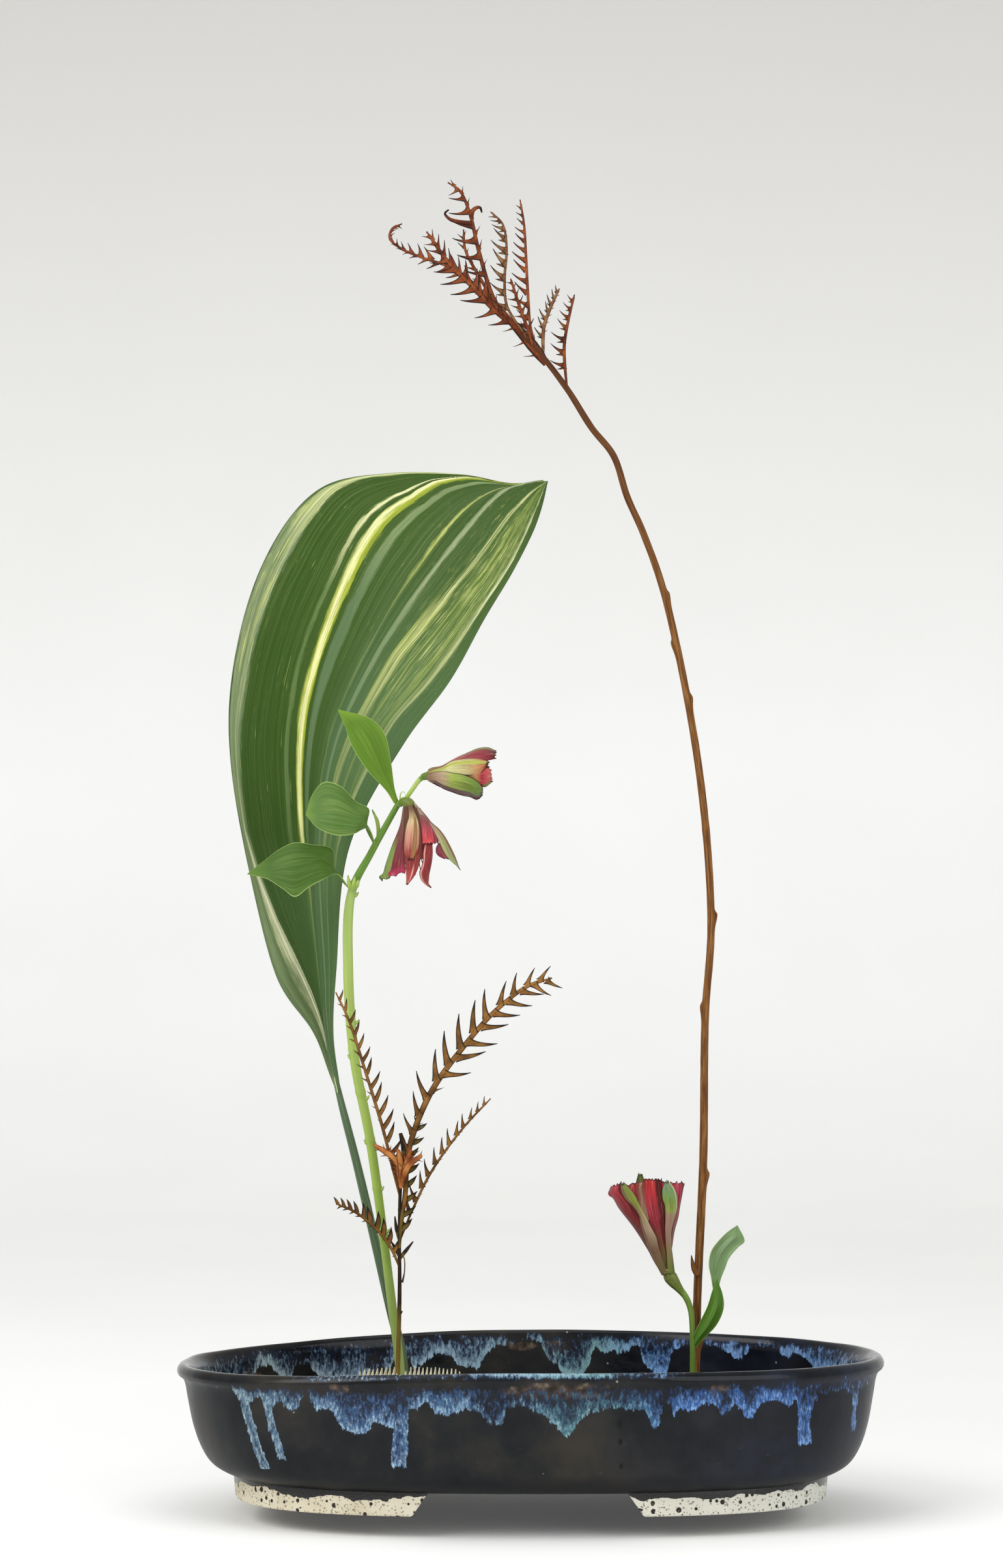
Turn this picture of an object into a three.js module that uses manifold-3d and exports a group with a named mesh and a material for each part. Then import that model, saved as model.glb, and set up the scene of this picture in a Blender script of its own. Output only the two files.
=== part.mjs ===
// Ikebana arrangement in a wide oval bowl. A tall woody branch with toothed dried fronds, a
// large striped leaf, a leafy flower stem, a short flower stem and a short toothed spray stand
// on two needle holders in shallow water.
// Millimetres, +Z up, +Y away from the front, origin on the table under the bowl's centre.

import * as THREE from "three";
import { mergeGeometries, mergeVertices } from "three/addons/utils/BufferGeometryUtils.js";
import Module from "manifold-3d";

const wasm = await Module();
wasm.setup();

// Bowl
const BOWL_HALF_LENGTH = 178;
const BOWL_HALF_WIDTH = 116;
const RIM_HEIGHT = 69;
const FLOOR_HEIGHT = 26;
const FOOT_HEIGHT = 11;
const FOOT_OUTER = 147;
const FOOT_INNER = 135;
const FOOT_GAP = { left: -53, right: 49, slant: 4 };
const FOOT_EXPONENT = 2.9;
const RIM_EXPONENT = 2.2;
const FOOT_SPREAD = 0.3;
const BOWL_SEGMENTS = 44;
const END_DROOP = { start: 0.05, left: 5.2, right: 1.2 };

// Needle holders and water
const SEAT_GAP = 0.3;
const KENZAN_BASE_HEIGHT = 11;
const KENZAN_TIP_HEIGHT = 54;
const KENZAN_SEGMENTS = 32;
const PIN_SPACING = 7.4;
const PIN_RADIUS = 1.1;
const PIN_CLEARANCE = 2.2;
const PIN_SIDES = 3;
const WATER_HEIGHT = 44;
const LEFT_KENZAN = { x: -62, y: 50, radius: 29 };
const RIGHT_KENZAN = { x: 82, y: -8, radius: 29 };
const KENZAN_TOP = FLOOR_HEIGHT + SEAT_GAP + KENZAN_BASE_HEIGHT;
const STEM_FOOT = KENZAN_TOP + 0.6;

// Sheets and joints between neighbours
const LEAF_THICKNESS = 0.8;
const FROND_THICKNESS = 0.7;
const TEPAL_THICKNESS = 0.7;
const NEIGHBOUR_GAP = 0.3;

const point = ([x, y, z]) => new THREE.Vector3(x, y, z);
const spline = (points) => new THREE.CatmullRomCurve3(points.map(point));
const lerp = THREE.MathUtils.lerp;

// A value that follows evenly spaced stations along a piece, t from 0 to 1
function along(values, t) {
  const place = THREE.MathUtils.clamp(t, 0, 1) * (values.length - 1);
  const index = Math.min(Math.floor(place), values.length - 2);
  return lerp(values[index], values[index + 1], place - index);
}

function signedVolume(geometry) {
  const position = geometry.getAttribute("position");
  const index = geometry.getIndex();
  const corner = [0, 1, 2].map(() => new THREE.Vector3());
  let volume = 0;
  for (let i = 0; i < index.count; i += 3) {
    corner.forEach((c, k) => c.fromBufferAttribute(position, index.getX(i + k)));
    volume += corner[0].dot(corner[1].clone().cross(corner[2])) / 6;
  }
  return volume;
}

// Shared vertices merged and faces pointing out, ready for a boolean
function closedGeometry(geometry) {
  geometry.deleteAttribute("normal");
  geometry.deleteAttribute("uv");
  const merged = mergeVertices(geometry, 1e-4);
  if (signedVolume(merged) < 0) {
    const array = merged.getIndex().array;
    for (let i = 0; i < array.length; i += 3) [array[i], array[i + 1]] = [array[i + 1], array[i]];
  }
  return merged;
}

function toSolid(geometry) {
  const closed = closedGeometry(geometry);
  return new wasm.Manifold(
    new wasm.Mesh({
      numProp: 3,
      vertProperties: new Float32Array(closed.getAttribute("position").array),
      triVerts: new Uint32Array(closed.getIndex().array),
    }),
  );
}

function fromSolid(solid) {
  const mesh = solid.getMesh();
  const geometry = new THREE.BufferGeometry();
  geometry.setAttribute("position", new THREE.BufferAttribute(mesh.vertProperties, 3));
  geometry.setIndex(new THREE.BufferAttribute(mesh.triVerts, 1));
  return geometry;
}

const union = (solids) => solids.reduce((sum, solid) => sum.add(solid));

// The largest body of a joined or cut solid, without loose scraps and sealed hollows
function mainBody(solid) {
  return solid.decompose().reduce((best, body) => (body.volume() > best.volume() ? body : best));
}

// A closed cylinder bent along a curve, its radius given at stations along it
function bentTube(curve, radii, sides, steps) {
  const geometry = new THREE.CylinderGeometry(1, 1, 1, sides, steps);
  const frames = curve.computeFrenetFrames(steps, false);
  const position = geometry.getAttribute("position");
  for (let i = 0; i < position.count; i += 1) {
    const step = Math.round((position.getY(i) + 0.5) * steps);
    const radius = along(radii, step / steps);
    const place = curve.getPointAt(step / steps);
    place.addScaledVector(frames.normals[step], radius * position.getX(i));
    place.addScaledVector(frames.binormals[step], radius * position.getZ(i));
    position.setXYZ(i, place.x, place.y, place.z);
  }
  return toSolid(geometry);
}

// A thin sheet: the middle surface thickened to both sides, split alike on both faces
function sheetSolid(points, triangles, thickness) {
  const normals = points.map(() => new THREE.Vector3());
  for (const [a, b, c] of triangles) {
    const ab = points[b].clone().sub(points[a]);
    const ac = points[c].clone().sub(points[a]);
    const normal = ab.cross(ac);
    for (const corner of [a, b, c]) normals[corner].add(normal);
  }
  normals.forEach((normal) => normal.normalize());
  const half = thickness / 2;
  const face = (side) => points.map((p, i) => p.clone().addScaledVector(normals[i], side * half));
  const position = [...face(1), ...face(-1)].flatMap((p) => [p.x, p.y, p.z]);
  const back = points.length;
  const index = [];
  const edges = new Map();
  for (const [a, b, c] of triangles) {
    index.push(a, b, c, a + back, c + back, b + back);
    for (const [from, to] of [[a, b], [b, c], [c, a]]) {
      if (edges.has(to + "_" + from)) edges.delete(to + "_" + from);
      else edges.set(from + "_" + to, [from, to]);
    }
  }
  for (const [from, to] of edges.values()) {
    index.push(from, from + back, to, to, from + back, to + back);
  }
  const geometry = new THREE.BufferGeometry();
  geometry.setAttribute("position", new THREE.Float32BufferAttribute(position, 3));
  geometry.setIndex(index);
  return toSolid(geometry);
}

// Triangles of a grid of rows, each row with the same number of points
function gridTriangles(rows, columns) {
  const triangles = [];
  for (let row = 0; row < rows - 1; row += 1) {
    for (let column = 0; column < columns - 1; column += 1) {
      const a = row * columns + column;
      triangles.push([a, a + 1, a + columns + 1], [a, a + columns + 1, a + columns]);
    }
  }
  return triangles;
}

// A leaf blade through cross lines of left edge, rib and right edge, ending in a point.
// Each half bulges away from the flat by its own amount.
function leafBlade({ crossLines, tip, rows, halfColumns, bulge, thickness }) {
  const curves = [0, 1, 2].map((side) => spline([...crossLines.map((line) => line[side]), tip]));
  const points = [];
  for (let row = 0; row < rows; row += 1) {
    const u = row / rows;
    const [left, rib, right] = curves.map((curve) => curve.getPoint(u));
    const growth = curves[1].getTangent(u);
    for (let column = -halfColumns; column <= halfColumns; column += 1) {
      const edge = column < 0 ? left : right;
      const share = Math.abs(column) / halfColumns;
      const across = right.clone().sub(left).normalize();
      const normal = growth.clone().cross(across).normalize();
      const fullness = column < 0 ? bulge.left : bulge.right;
      const lift = fullness * Math.sin(Math.PI * share) * Math.sin(Math.PI * u);
      points.push(rib.clone().lerp(edge, share).addScaledVector(normal, lift));
    }
  }
  const columns = 2 * halfColumns + 1;
  const triangles = gridTriangles(rows, columns);
  const last = (rows - 1) * columns;
  points.push(point(tip));
  for (let column = 0; column < columns - 1; column += 1) {
    triangles.push([last + column, last + column + 1, points.length - 1]);
  }
  return sheetSolid(points, triangles, thickness);
}

// Bowl: a lathe profile carried round an oval, with ends that droop a little

const BOWL_PROFILE = [
  [0, FOOT_HEIGHT],
  [FOOT_INNER - 1, FOOT_HEIGHT],
  [FOOT_INNER, 0],
  [FOOT_OUTER, 0],
  [FOOT_OUTER + 1.5, FOOT_HEIGHT],
  [159.5, 16.5],
  [165, 24],
  [168.5, 35],
  [171, 50],
  [172.5, 59.5],
  [176, 62],
  [178, 65.5],
  [176, RIM_HEIGHT],
  [171.5, 68.2],
  [167.5, 62],
  [165, 50],
  [161, 37.5],
  [153, 29.5],
  [140, FLOOR_HEIGHT],
  [0, FLOOR_HEIGHT],
];

// The inside of the bowl, carried straight up past the rim
const ABOVE_RIM = 100;
const INNER_PROFILE = [[0, ABOVE_RIM], [171, ABOVE_RIM], ...BOWL_PROFILE.slice(-7)];

// A point of the lathe at radius r and a turn angle, moved to its place on the oval bowl.
// The plan is squarer at the foot than at the rim, and the rim sinks towards both ends.
function bowlPoint(radius, angle, height) {
  const exponent = lerp(FOOT_EXPONENT, RIM_EXPONENT, Math.min(height / RIM_HEIGHT, 1));
  const bend = (value) => Math.sign(value) * Math.abs(value) ** (2 / exponent);
  const share = radius / BOWL_HALF_LENGTH;
  const depth = BOWL_HALF_WIDTH * share * (1 + FOOT_SPREAD * (1 - share));
  const x = radius * bend(Math.cos(angle));
  const y = depth * bend(Math.sin(angle));
  const reach = THREE.MathUtils.smoothstep(Math.abs(x) / BOWL_HALF_LENGTH, END_DROOP.start, 1);
  const rise = THREE.MathUtils.clamp((height - FLOOR_HEIGHT) / (RIM_HEIGHT - FLOOR_HEIGHT), 0, 1);
  const droop = reach * rise * (x < 0 ? END_DROOP.left : END_DROOP.right);
  return new THREE.Vector3(x, y, height - droop);
}

function ovalLathe(profile, inset) {
  const outline = profile.map(([radius, height]) => [Math.max(radius - inset, 0), height]);
  const geometry = new THREE.LatheGeometry(outline.map(([r, z]) => new THREE.Vector2(r, z)), BOWL_SEGMENTS);
  const position = geometry.getAttribute("position");
  for (let i = 0; i < position.count; i += 1) {
    const radius = Math.hypot(position.getX(i), position.getZ(i));
    const angle = Math.atan2(position.getZ(i), position.getX(i));
    const place = bowlPoint(radius, angle, position.getY(i));
    position.setXYZ(i, place.x, place.y, place.z);
  }
  return toSolid(geometry);
}

function bowl() {
  const { left, right, slant } = FOOT_GAP;
  const corners = [
    [left - slant, -1],
    [right + slant, -1],
    [right - slant, FOOT_HEIGHT],
    [left + slant, FOOT_HEIGHT],
  ];
  const outline = new THREE.Shape(corners.map(([x, z]) => new THREE.Vector2(x, z)));
  const depth = 2.4 * BOWL_HALF_WIDTH;
  const gap = new THREE.ExtrudeGeometry(outline, { depth, bevelEnabled: false });
  gap.rotateX(Math.PI / 2).translate(0, depth / 2, 0);
  return ovalLathe(BOWL_PROFILE, 0).subtract(toSolid(gap));
}

// Water fills the bowl to its level, with a round hole for each needle holder
function water() {
  const depth = ABOVE_RIM;
  const block = new THREE.BoxGeometry(3 * BOWL_HALF_LENGTH, 3 * BOWL_HALF_WIDTH, depth);
  const below = toSolid(block.translate(0, 0, WATER_HEIGHT - depth / 2));
  let solid = ovalLathe(INNER_PROFILE, 2 * SEAT_GAP).translate([0, 0, SEAT_GAP]).intersect(below);
  for (const { x, y, radius } of [LEFT_KENZAN, RIGHT_KENZAN]) {
    const clear = radius + 2 * SEAT_GAP;
    const hole = new THREE.CylinderGeometry(clear, clear, depth, KENZAN_SEGMENTS).rotateX(Math.PI / 2);
    solid = solid.subtract(toSolid(hole.translate(x, y, FLOOR_HEIGHT)));
  }
  return solid;
}

// Needle holder: a heavy disc set with pointed pins in staggered rows, none where a stem stands
function kenzan({ x, y, radius }, feet) {
  const top = KENZAN_BASE_HEIGHT;
  const outline = [
    [0, 0],
    [radius - 1, 0],
    [radius, 1],
    [radius, top - 1.5],
    [radius - 1.5, top],
    [0, top],
  ];
  const disc = new THREE.LatheGeometry(outline.map(([r, z]) => new THREE.Vector2(r, z)), KENZAN_SEGMENTS);
  const base = toSolid(disc.rotateX(Math.PI / 2).translate(x, y, FLOOR_HEIGHT + SEAT_GAP));
  const sunk = 1;
  const pinHeight = KENZAN_TIP_HEIGHT - KENZAN_TOP + sunk;
  const rowSpacing = PIN_SPACING * Math.sqrt(0.75);
  const rowCount = Math.floor(radius / rowSpacing);
  const pins = [];
  for (let row = -rowCount; row <= rowCount; row += 1) {
    for (let column = -rowCount - 1; column <= rowCount + 1; column += 1) {
      const px = (column + (row % 2 ? 0.5 : 0)) * PIN_SPACING;
      const py = row * rowSpacing;
      const reach = (foot) => Math.hypot(x + px - foot.x, y + py - foot.y) - foot.radius;
      const taken = feet.some((foot) => reach(foot) < PIN_CLEARANCE);
      if (taken || Math.hypot(px, py) > radius - 3) continue;
      const pin = new THREE.ConeGeometry(PIN_RADIUS, pinHeight, PIN_SIDES);
      pins.push(pin.rotateX(Math.PI / 2).translate(x + px, y + py, KENZAN_TOP - sunk + pinHeight / 2));
    }
  }
  return base.add(toSolid(mergeGeometries(pins)));
}

// The big leaf: a round stalk running out along the rib of a channelled, waved blade
const LEAF_STALK = {
  path: [[-65, 58, STEM_FOOT], [-66, 58, 58], [-73, 58, 88], [-90, 56, 160], [-99, 55, 195],
    [-105, 54, 222], [-109, 52, 258]],
  radii: [2.7, 2.6, 2.4, 2.3, 2, 1.1, 0.5],
};
const LEAF_CROSS_LINES = [
  [[-105, 53, 208], [-103, 54, 208], [-101, 53, 208]],
  [[-113, 50, 228], [-106, 54, 227], [-102, 44, 227]],
  [[-131, 46, 259], [-109, 52, 261], [-100, 32, 261]],
  [[-149, 41, 326], [-112, 50, 325], [-93, 24, 324]],
  [[-157, 45, 402], [-104, 51, 385], [-65, 27, 378]],
  [[-141, 64, 478], [-82, 57, 437], [-41, 32, 412]],
  [[-112, 86, 520], [-57, 61, 479], [-24, 39, 443]],
  [[-75, 97, 529.5], [-35, 62, 502], [-8, 45, 470]],
  [[-35, 90, 528], [-16, 60, 514], [3, 49, 493]],
  [[-8, 70, 520], [-2, 57, 518], [8, 53, 509]],
];
const LEAF_TIP = [10, 55, 519];

function stripedLeaf() {
  const blade = leafBlade({
    crossLines: LEAF_CROSS_LINES,
    tip: LEAF_TIP,
    rows: 24,
    halfColumns: 4,
    bulge: { left: 5, right: 3 },
    thickness: LEAF_THICKNESS,
  });
  return bentTube(spline(LEAF_STALK.path), LEAF_STALK.radii, 10, 24).add(blade);
}

// The leafy flower stem, with its two flower stalks and three leaves
const FLOWER_STEM = {
  path: [[-67, 50, STEM_FOOT], [-67, 50, 54], [-71, 47, 87], [-82, 35, 172], [-90, 27, 215],
    [-93, 18, 260], [-91, 10, 300], [-81, 6, 320], [-67, 2, 345]],
  radii: [2.6, 2.5, 2.5, 2.4, 2.4, 2.3, 2.2, 2.1, 1.7, 1.6, 1.5],
};
const SIDE_STALK = [[-67, 2, 344], [-64, 1, 347], [-60, 0, 352], [-57, 0, 358], [-54.6, -0.2, 359.7]];
const HANGING_STALK = [[-67, 2, 344], [-65.4, 1.2, 346.4], [-63.3, -0.1, 346.9], [-61.9, -1.1, 344.5]];
const UPPER_LEAF = {
  crossLines: [
    [[-69, 1, 345], [-68, 2, 345.5], [-67, 3, 346]],
    [[-73, -1, 351], [-71, 0, 352], [-69, 2, 352]],
    [[-83, -4, 362], [-77, -4, 365], [-71, 0, 367]],
    [[-91, -3, 375], [-84, -6, 379], [-74, -1, 380]],
    [[-94, -1, 384], [-90, -5, 386], [-81, 0, 388]],
  ],
  tip: [-98, 1, 393],
};
const FOLDED_LEAF = {
  crossLines: [
    [[-79.5, 6, 323.5], [-79, 5, 323], [-78.5, 4, 322.5]],
    [[-84, 3, 334], [-83, 2, 333], [-82, 1, 332]],
    [[-82, 2, 342], [-85, -2, 337], [-86, -4, 331]],
    [[-89, 3, 346], [-89, -4, 338], [-89, -7, 329]],
    [[-97, 4, 354], [-98, -5, 341], [-97, -9, 328]],
    [[-105, 4, 356], [-104, -4, 341], [-104, -8, 330]],
    [[-111, 2, 349], [-110, -3, 340], [-109, -6, 333]],
  ],
  tip: [-114, -3, 339],
};
const CURLED_LEAF = {
  crossLines: [
    [[-92, 11, 301], [-91, 10, 300], [-91, 9, 299]],
    [[-100, 7, 311], [-99, 6, 310], [-98, 5, 309]],
    [[-101, 6, 322], [-105, 2, 316], [-105, -3, 306]],
    [[-111, 5, 324], [-112, 0, 316], [-112, -6, 302]],
    [[-120, 4, 325], [-120, -2, 315], [-119, -8, 297]],
    [[-127, 4, 322], [-128, -1, 313], [-125, -6, 301]],
    [[-135, 5, 316], [-136, 1, 311], [-133, -3, 306]],
  ],
  tip: [-144, 4, 309],
};
const CURLED_BRACT = [[-79, 6, 324], [-77.5, 7, 329], [-78, 8, 336], [-80.5, 5, 342]];

const smallBlade = (leaf) =>
  leafBlade({ ...leaf, rows: 8, halfColumns: 2, bulge: { left: 1, right: 1 }, thickness: FROND_THICKNESS });

function leafyStem() {
  return union([
    bentTube(spline(FLOWER_STEM.path), FLOWER_STEM.radii, 8, 28),
    bentTube(spline(SIDE_STALK), [1.4, 1, 1, 1.2, 1.6], 6, 8),
    bentTube(spline(HANGING_STALK), [1.4, 1.3, 1.3, 1.5], 6, 6),
    bentTube(spline(CURLED_BRACT), [0.5, 1, 1, 0.3], 4, 8),
    ...[UPPER_LEAF, FOLDED_LEAF, CURLED_LEAF].map(smallBlade),
  ]);
}

// A trumpet bloom: an ovary with six tepals lying on cones round one axis. Each tepal has its
// turn round the axis, length, width, spread at the mouth and a reach beyond the cone's curve.
function bloom({ base, mouth, ovary, tepals }) {
  const root = point(base);
  const axis = point(mouth).sub(root).normalize();
  const front = new THREE.Vector3(0, -1, 0).addScaledVector(axis, axis.y).normalize();
  const side = axis.clone().cross(front);
  const seed = new THREE.SphereGeometry(1, 8, 6).scale(ovary.radius, ovary.length / 2, ovary.radius);
  seed.applyQuaternion(new THREE.Quaternion().setFromUnitVectors(new THREE.Vector3(0, 1, 0), axis));
  seed.translate(...root.clone().addScaledVector(axis, ovary.length / 2).toArray());
  const solids = [toSolid(seed)];
  for (const { turn, length, width, spread, curl = 0, layer = 0 } of tepals) {
    const points = [];
    const shares = [0, 0.28, 0.56, 0.8, 0.94];
    const start = ovary.length * 0.6;
    for (const share of [...shares, 1]) {
      const radius = lerp(ovary.radius * 0.5, spread, share ** 1.25) + layer * share + curl * share ** 5;
      const halfWidth = width * (0.14 + 0.36 * Math.sin(Math.PI * share ** 1.5 * 0.8));
      const columns = share < 1 ? [-1, 0, 1] : [0];
      for (const column of columns) {
        const angle = THREE.MathUtils.degToRad(turn) + (column * halfWidth) / Math.max(radius, 2.4);
        const place = root.clone().addScaledVector(axis, lerp(start, length, share));
        place.addScaledVector(front, radius * Math.cos(angle));
        place.addScaledVector(side, radius * Math.sin(angle));
        points.push(place);
      }
    }
    const triangles = gridTriangles(shares.length, 3);
    const last = (shares.length - 1) * 3;
    for (const column of [0, 1]) triangles.push([last + column, last + column + 1, last + 3]);
    solids.push(sheetSolid(points, triangles, TEPAL_THICKNESS));
  }
  return mainBody(union(solids));
}

const SIDE_BLOOM = {
  base: [-53.8, -0.5, 360.1],
  mouth: [-21, -7, 358.5],
  ovary: { radius: 2.6, length: 6 },
  tepals: [
    { turn: 20, length: 33, width: 12, spread: 9 },
    { turn: 100, length: 36, width: 15, spread: 11 },
    { turn: -70, length: 33, width: 14, spread: 10 },
    { turn: 160, length: 35, width: 12, spread: 10 },
    { turn: -140, length: 34, width: 12, spread: 9 },
    { turn: 55, length: 36, width: 9, spread: 5 },
  ],
};
const HANGING_BLOOM = {
  base: [-61.8, -1.2, 344],
  mouth: [-56, -6, 308],
  ovary: { radius: 2.8, length: 6 },
  tepals: [
    { turn: -78, length: 41, width: 15, spread: 18, curl: 2 },
    { turn: -12, length: 32, width: 11, spread: 7 },
    { turn: 70, length: 40, width: 13, spread: 19, curl: 3 },
    { turn: -45, length: 42, width: 9, spread: 7 },
    { turn: 20, length: 43, width: 7, spread: 6 },
    { turn: 170, length: 36, width: 14, spread: 12 },
  ],
};
const UPRIGHT_BLOOM = {
  base: [71, -12, 105],
  mouth: [57.5, -12, 152],
  ovary: { radius: 2.9, length: 8 },
  tepals: [
    { turn: -80, length: 53, width: 19, spread: 19, curl: 2 },
    { turn: 0, length: 48, width: 20, spread: 14, curl: 1 },
    { turn: 85, length: 50, width: 19, spread: 18, curl: 2 },
    { turn: -38, length: 49, width: 10, spread: 12 },
    { turn: 40, length: 50, width: 10, spread: 13 },
    { turn: 180, length: 52, width: 22, spread: 15 },
  ],
};

// The short flower stem, with its twisted leaf
const SHORT_STEM = {
  path: [[81, -13, STEM_FOOT], [81, -13, 60], [80, -13, 78], [79, -12.5, 90], [75, -12, 99],
    [71.5, -12, 104.4]],
  radii: [1.5, 1.4, 1.4, 1.4, 1.5, 2.2],
};
const TWISTED_LEAF = {
  crossLines: [
    [[79.6, -13, 70], [80.6, -13, 70], [81.6, -13, 70]],
    [[81, -14, 82], [84, -15, 81], [87, -14, 80]],
    [[86, -15, 91], [90, -18, 91], [94, -16, 91]],
    [[88, -21, 104], [91, -18, 103], [94, -14, 103]],
    [[88, -21, 114], [92, -17, 114], [96, -14, 113]],
    [[90, -18, 122], [96, -16, 122], [102, -15, 121]],
    [[97, -15, 129], [101, -17, 129], [104, -20, 127]],
  ],
  tip: [102, -18, 134],
};

function shortStem() {
  return bentTube(spline(SHORT_STEM.path), SHORT_STEM.radii, 8, 16).add(smallBlade(TWISTED_LEAF));
}

// The tall branch, with a bump or a pointed bud where each old leaf sat
const BRANCH = {
  path: [[83, -5, STEM_FOOT], [83, -5, 58], [84, -6, 97], [87, -9, 165], [88, -13, 237],
    [91, -15, 284], [85, -19, 361], [68, -24, 448], [57, -26, 480], [49, -27, 498],
    [42, -28, 519], [31, -29, 533], [19, -30, 552], [7, -31, 568], [-4, -33, 580]],
  radii: [2.2, 2.1, 2.1, 2, 1.9, 1.9, 1.8, 1.7, 1.6, 1.5, 1.2, 0.8],
  sides: 8,
  steps: 36,
};
// Height of each bump, the side of the branch that it is on, right, left or front, and its size
const BRANCH_BUMPS = [
  { height: 75, right: 1, radius: 1.7 },
  { height: 158, right: 1, radius: 1.5 },
  { height: 203, right: 0, radius: 1.4 },
  { height: 242, right: -1, radius: 1.3 },
  { height: 288, right: 1, radius: 1.6 },
  { height: 331, right: 0, radius: 1.5 },
  { height: 397, right: 1, radius: 1.4 },
  { height: 425, right: -1, radius: 1.3 },
  { height: 449, right: 1, radius: 1.3 },
];
const BRANCH_BUD = [[84, -8, 107], [82, -8, 111], [80.8, -8, 117]];

const branchTube = (extra) =>
  bentTube(spline(BRANCH.path), BRANCH.radii.map((radius) => radius + extra), BRANCH.sides, BRANCH.steps);

// The point of a rising curve at a height
function atHeight(curve, height) {
  let low = 0;
  let high = 1;
  for (let i = 0; i < 20; i += 1) {
    const middle = (low + high) / 2;
    if (curve.getPoint(middle).z < height) low = middle;
    else high = middle;
  }
  return curve.getPoint(low);
}

function tallBranch() {
  const curve = spline(BRANCH.path);
  const bumps = BRANCH_BUMPS.map(({ height, right, radius }) => {
    const centre = atHeight(curve, height);
    const reach = along(BRANCH.radii, curve.getPoint(0).distanceTo(centre) / curve.getLength()) - 0.2;
    const bump = new THREE.SphereGeometry(1, 5, 4).rotateX(Math.PI / 2).scale(radius, radius, 2.2 * radius);
    bump.translate(centre.x + right * reach, centre.y - (right === 0 ? reach : 0), centre.z);
    return toSolid(bump);
  });
  return union([branchTube(0), ...bumps, bentTube(spline(BRANCH_BUD), [1.6, 1.3, 0.2], 5, 3)]);
}

// A dried frond: a narrow midrib blade with a pointed tooth on alternate sides every half
// pitch. Tooth lengths are given at stations from the first tooth to the tip, for each side,
// left and right as the frond is seen from the side that it faces.
const MIDRIB_WIDTHS = [0.55, 0.9, 1, 0.9, 0.75, 0.45];
const SHORTEST_TOOTH = 0.8;
const toothNoise = (seed, index) => 1 + 0.14 * Math.sin(12.9898 * seed + 78.233 * index);

function frond({ path, facing = [0.15, -1, 0.1], width, pitch, stalk, left, right, lean, seed }) {
  const curve = spline(path);
  const length = curve.getLength();
  const count = Math.round((length - stalk) / (pitch / 2));
  const stations = [0, stalk / 2];
  for (let step = 0; step <= count; step += 1) stations.push(stalk + ((length - stalk) * step) / count);
  const frames = stations.map((distance) => {
    const share = Math.min(distance / length, 1);
    const growth = curve.getTangentAt(share);
    const normal = point(facing).addScaledVector(growth, -point(facing).dot(growth)).normalize();
    return { centre: curve.getPointAt(share), growth, side: normal.cross(growth), share };
  });
  const points = [];
  const triangles = [];
  frames.slice(0, -1).forEach(({ centre, side, share }) => {
    const half = (width / 2) * along(MIDRIB_WIDTHS, share);
    points.push(centre.clone().addScaledVector(side, half), centre.clone().addScaledVector(side, -half));
  });
  points.push(frames.at(-1).centre);
  const last = frames.length - 2;
  for (let i = 0; i < last; i += 1) {
    triangles.push([2 * i, 2 * i + 1, 2 * i + 3], [2 * i, 2 * i + 3, 2 * i + 2]);
  }
  triangles.push([2 * last, 2 * last + 1, 2 * last + 2]);
  for (let i = 2; i < last; i += 1) {
    const onLeft = i % 2 === 0;
    const reach = along(onLeft ? left : right, (i - 2) / (last - 2)) * toothNoise(seed, i);
    if (reach < SHORTEST_TOOTH) continue;
    const lower = 2 * i + (onLeft ? 0 : 1);
    const upper = lower + 2;
    const { growth, side } = frames[i];
    const angle = THREE.MathUtils.degToRad(lean[onLeft ? 0 : 1]);
    const outward = side.clone().multiplyScalar(onLeft ? Math.sin(angle) : -Math.sin(angle));
    outward.addScaledVector(growth, Math.cos(angle));
    const tip = points[lower].clone().lerp(points[upper], 0.6).addScaledVector(outward, reach);
    const belly = points[lower].clone().lerp(tip, 0.42).addScaledVector(growth, -0.09 * reach);
    const bellyIndex = points.push(belly) - 1;
    const tipIndex = points.push(tip) - 1;
    if (onLeft) triangles.push([lower, upper, bellyIndex], [bellyIndex, upper, tipIndex]);
    else triangles.push([lower, bellyIndex, upper], [bellyIndex, tipIndex, upper]);
  }
  return sheetSolid(points, triangles, FROND_THICKNESS);
}

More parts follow.
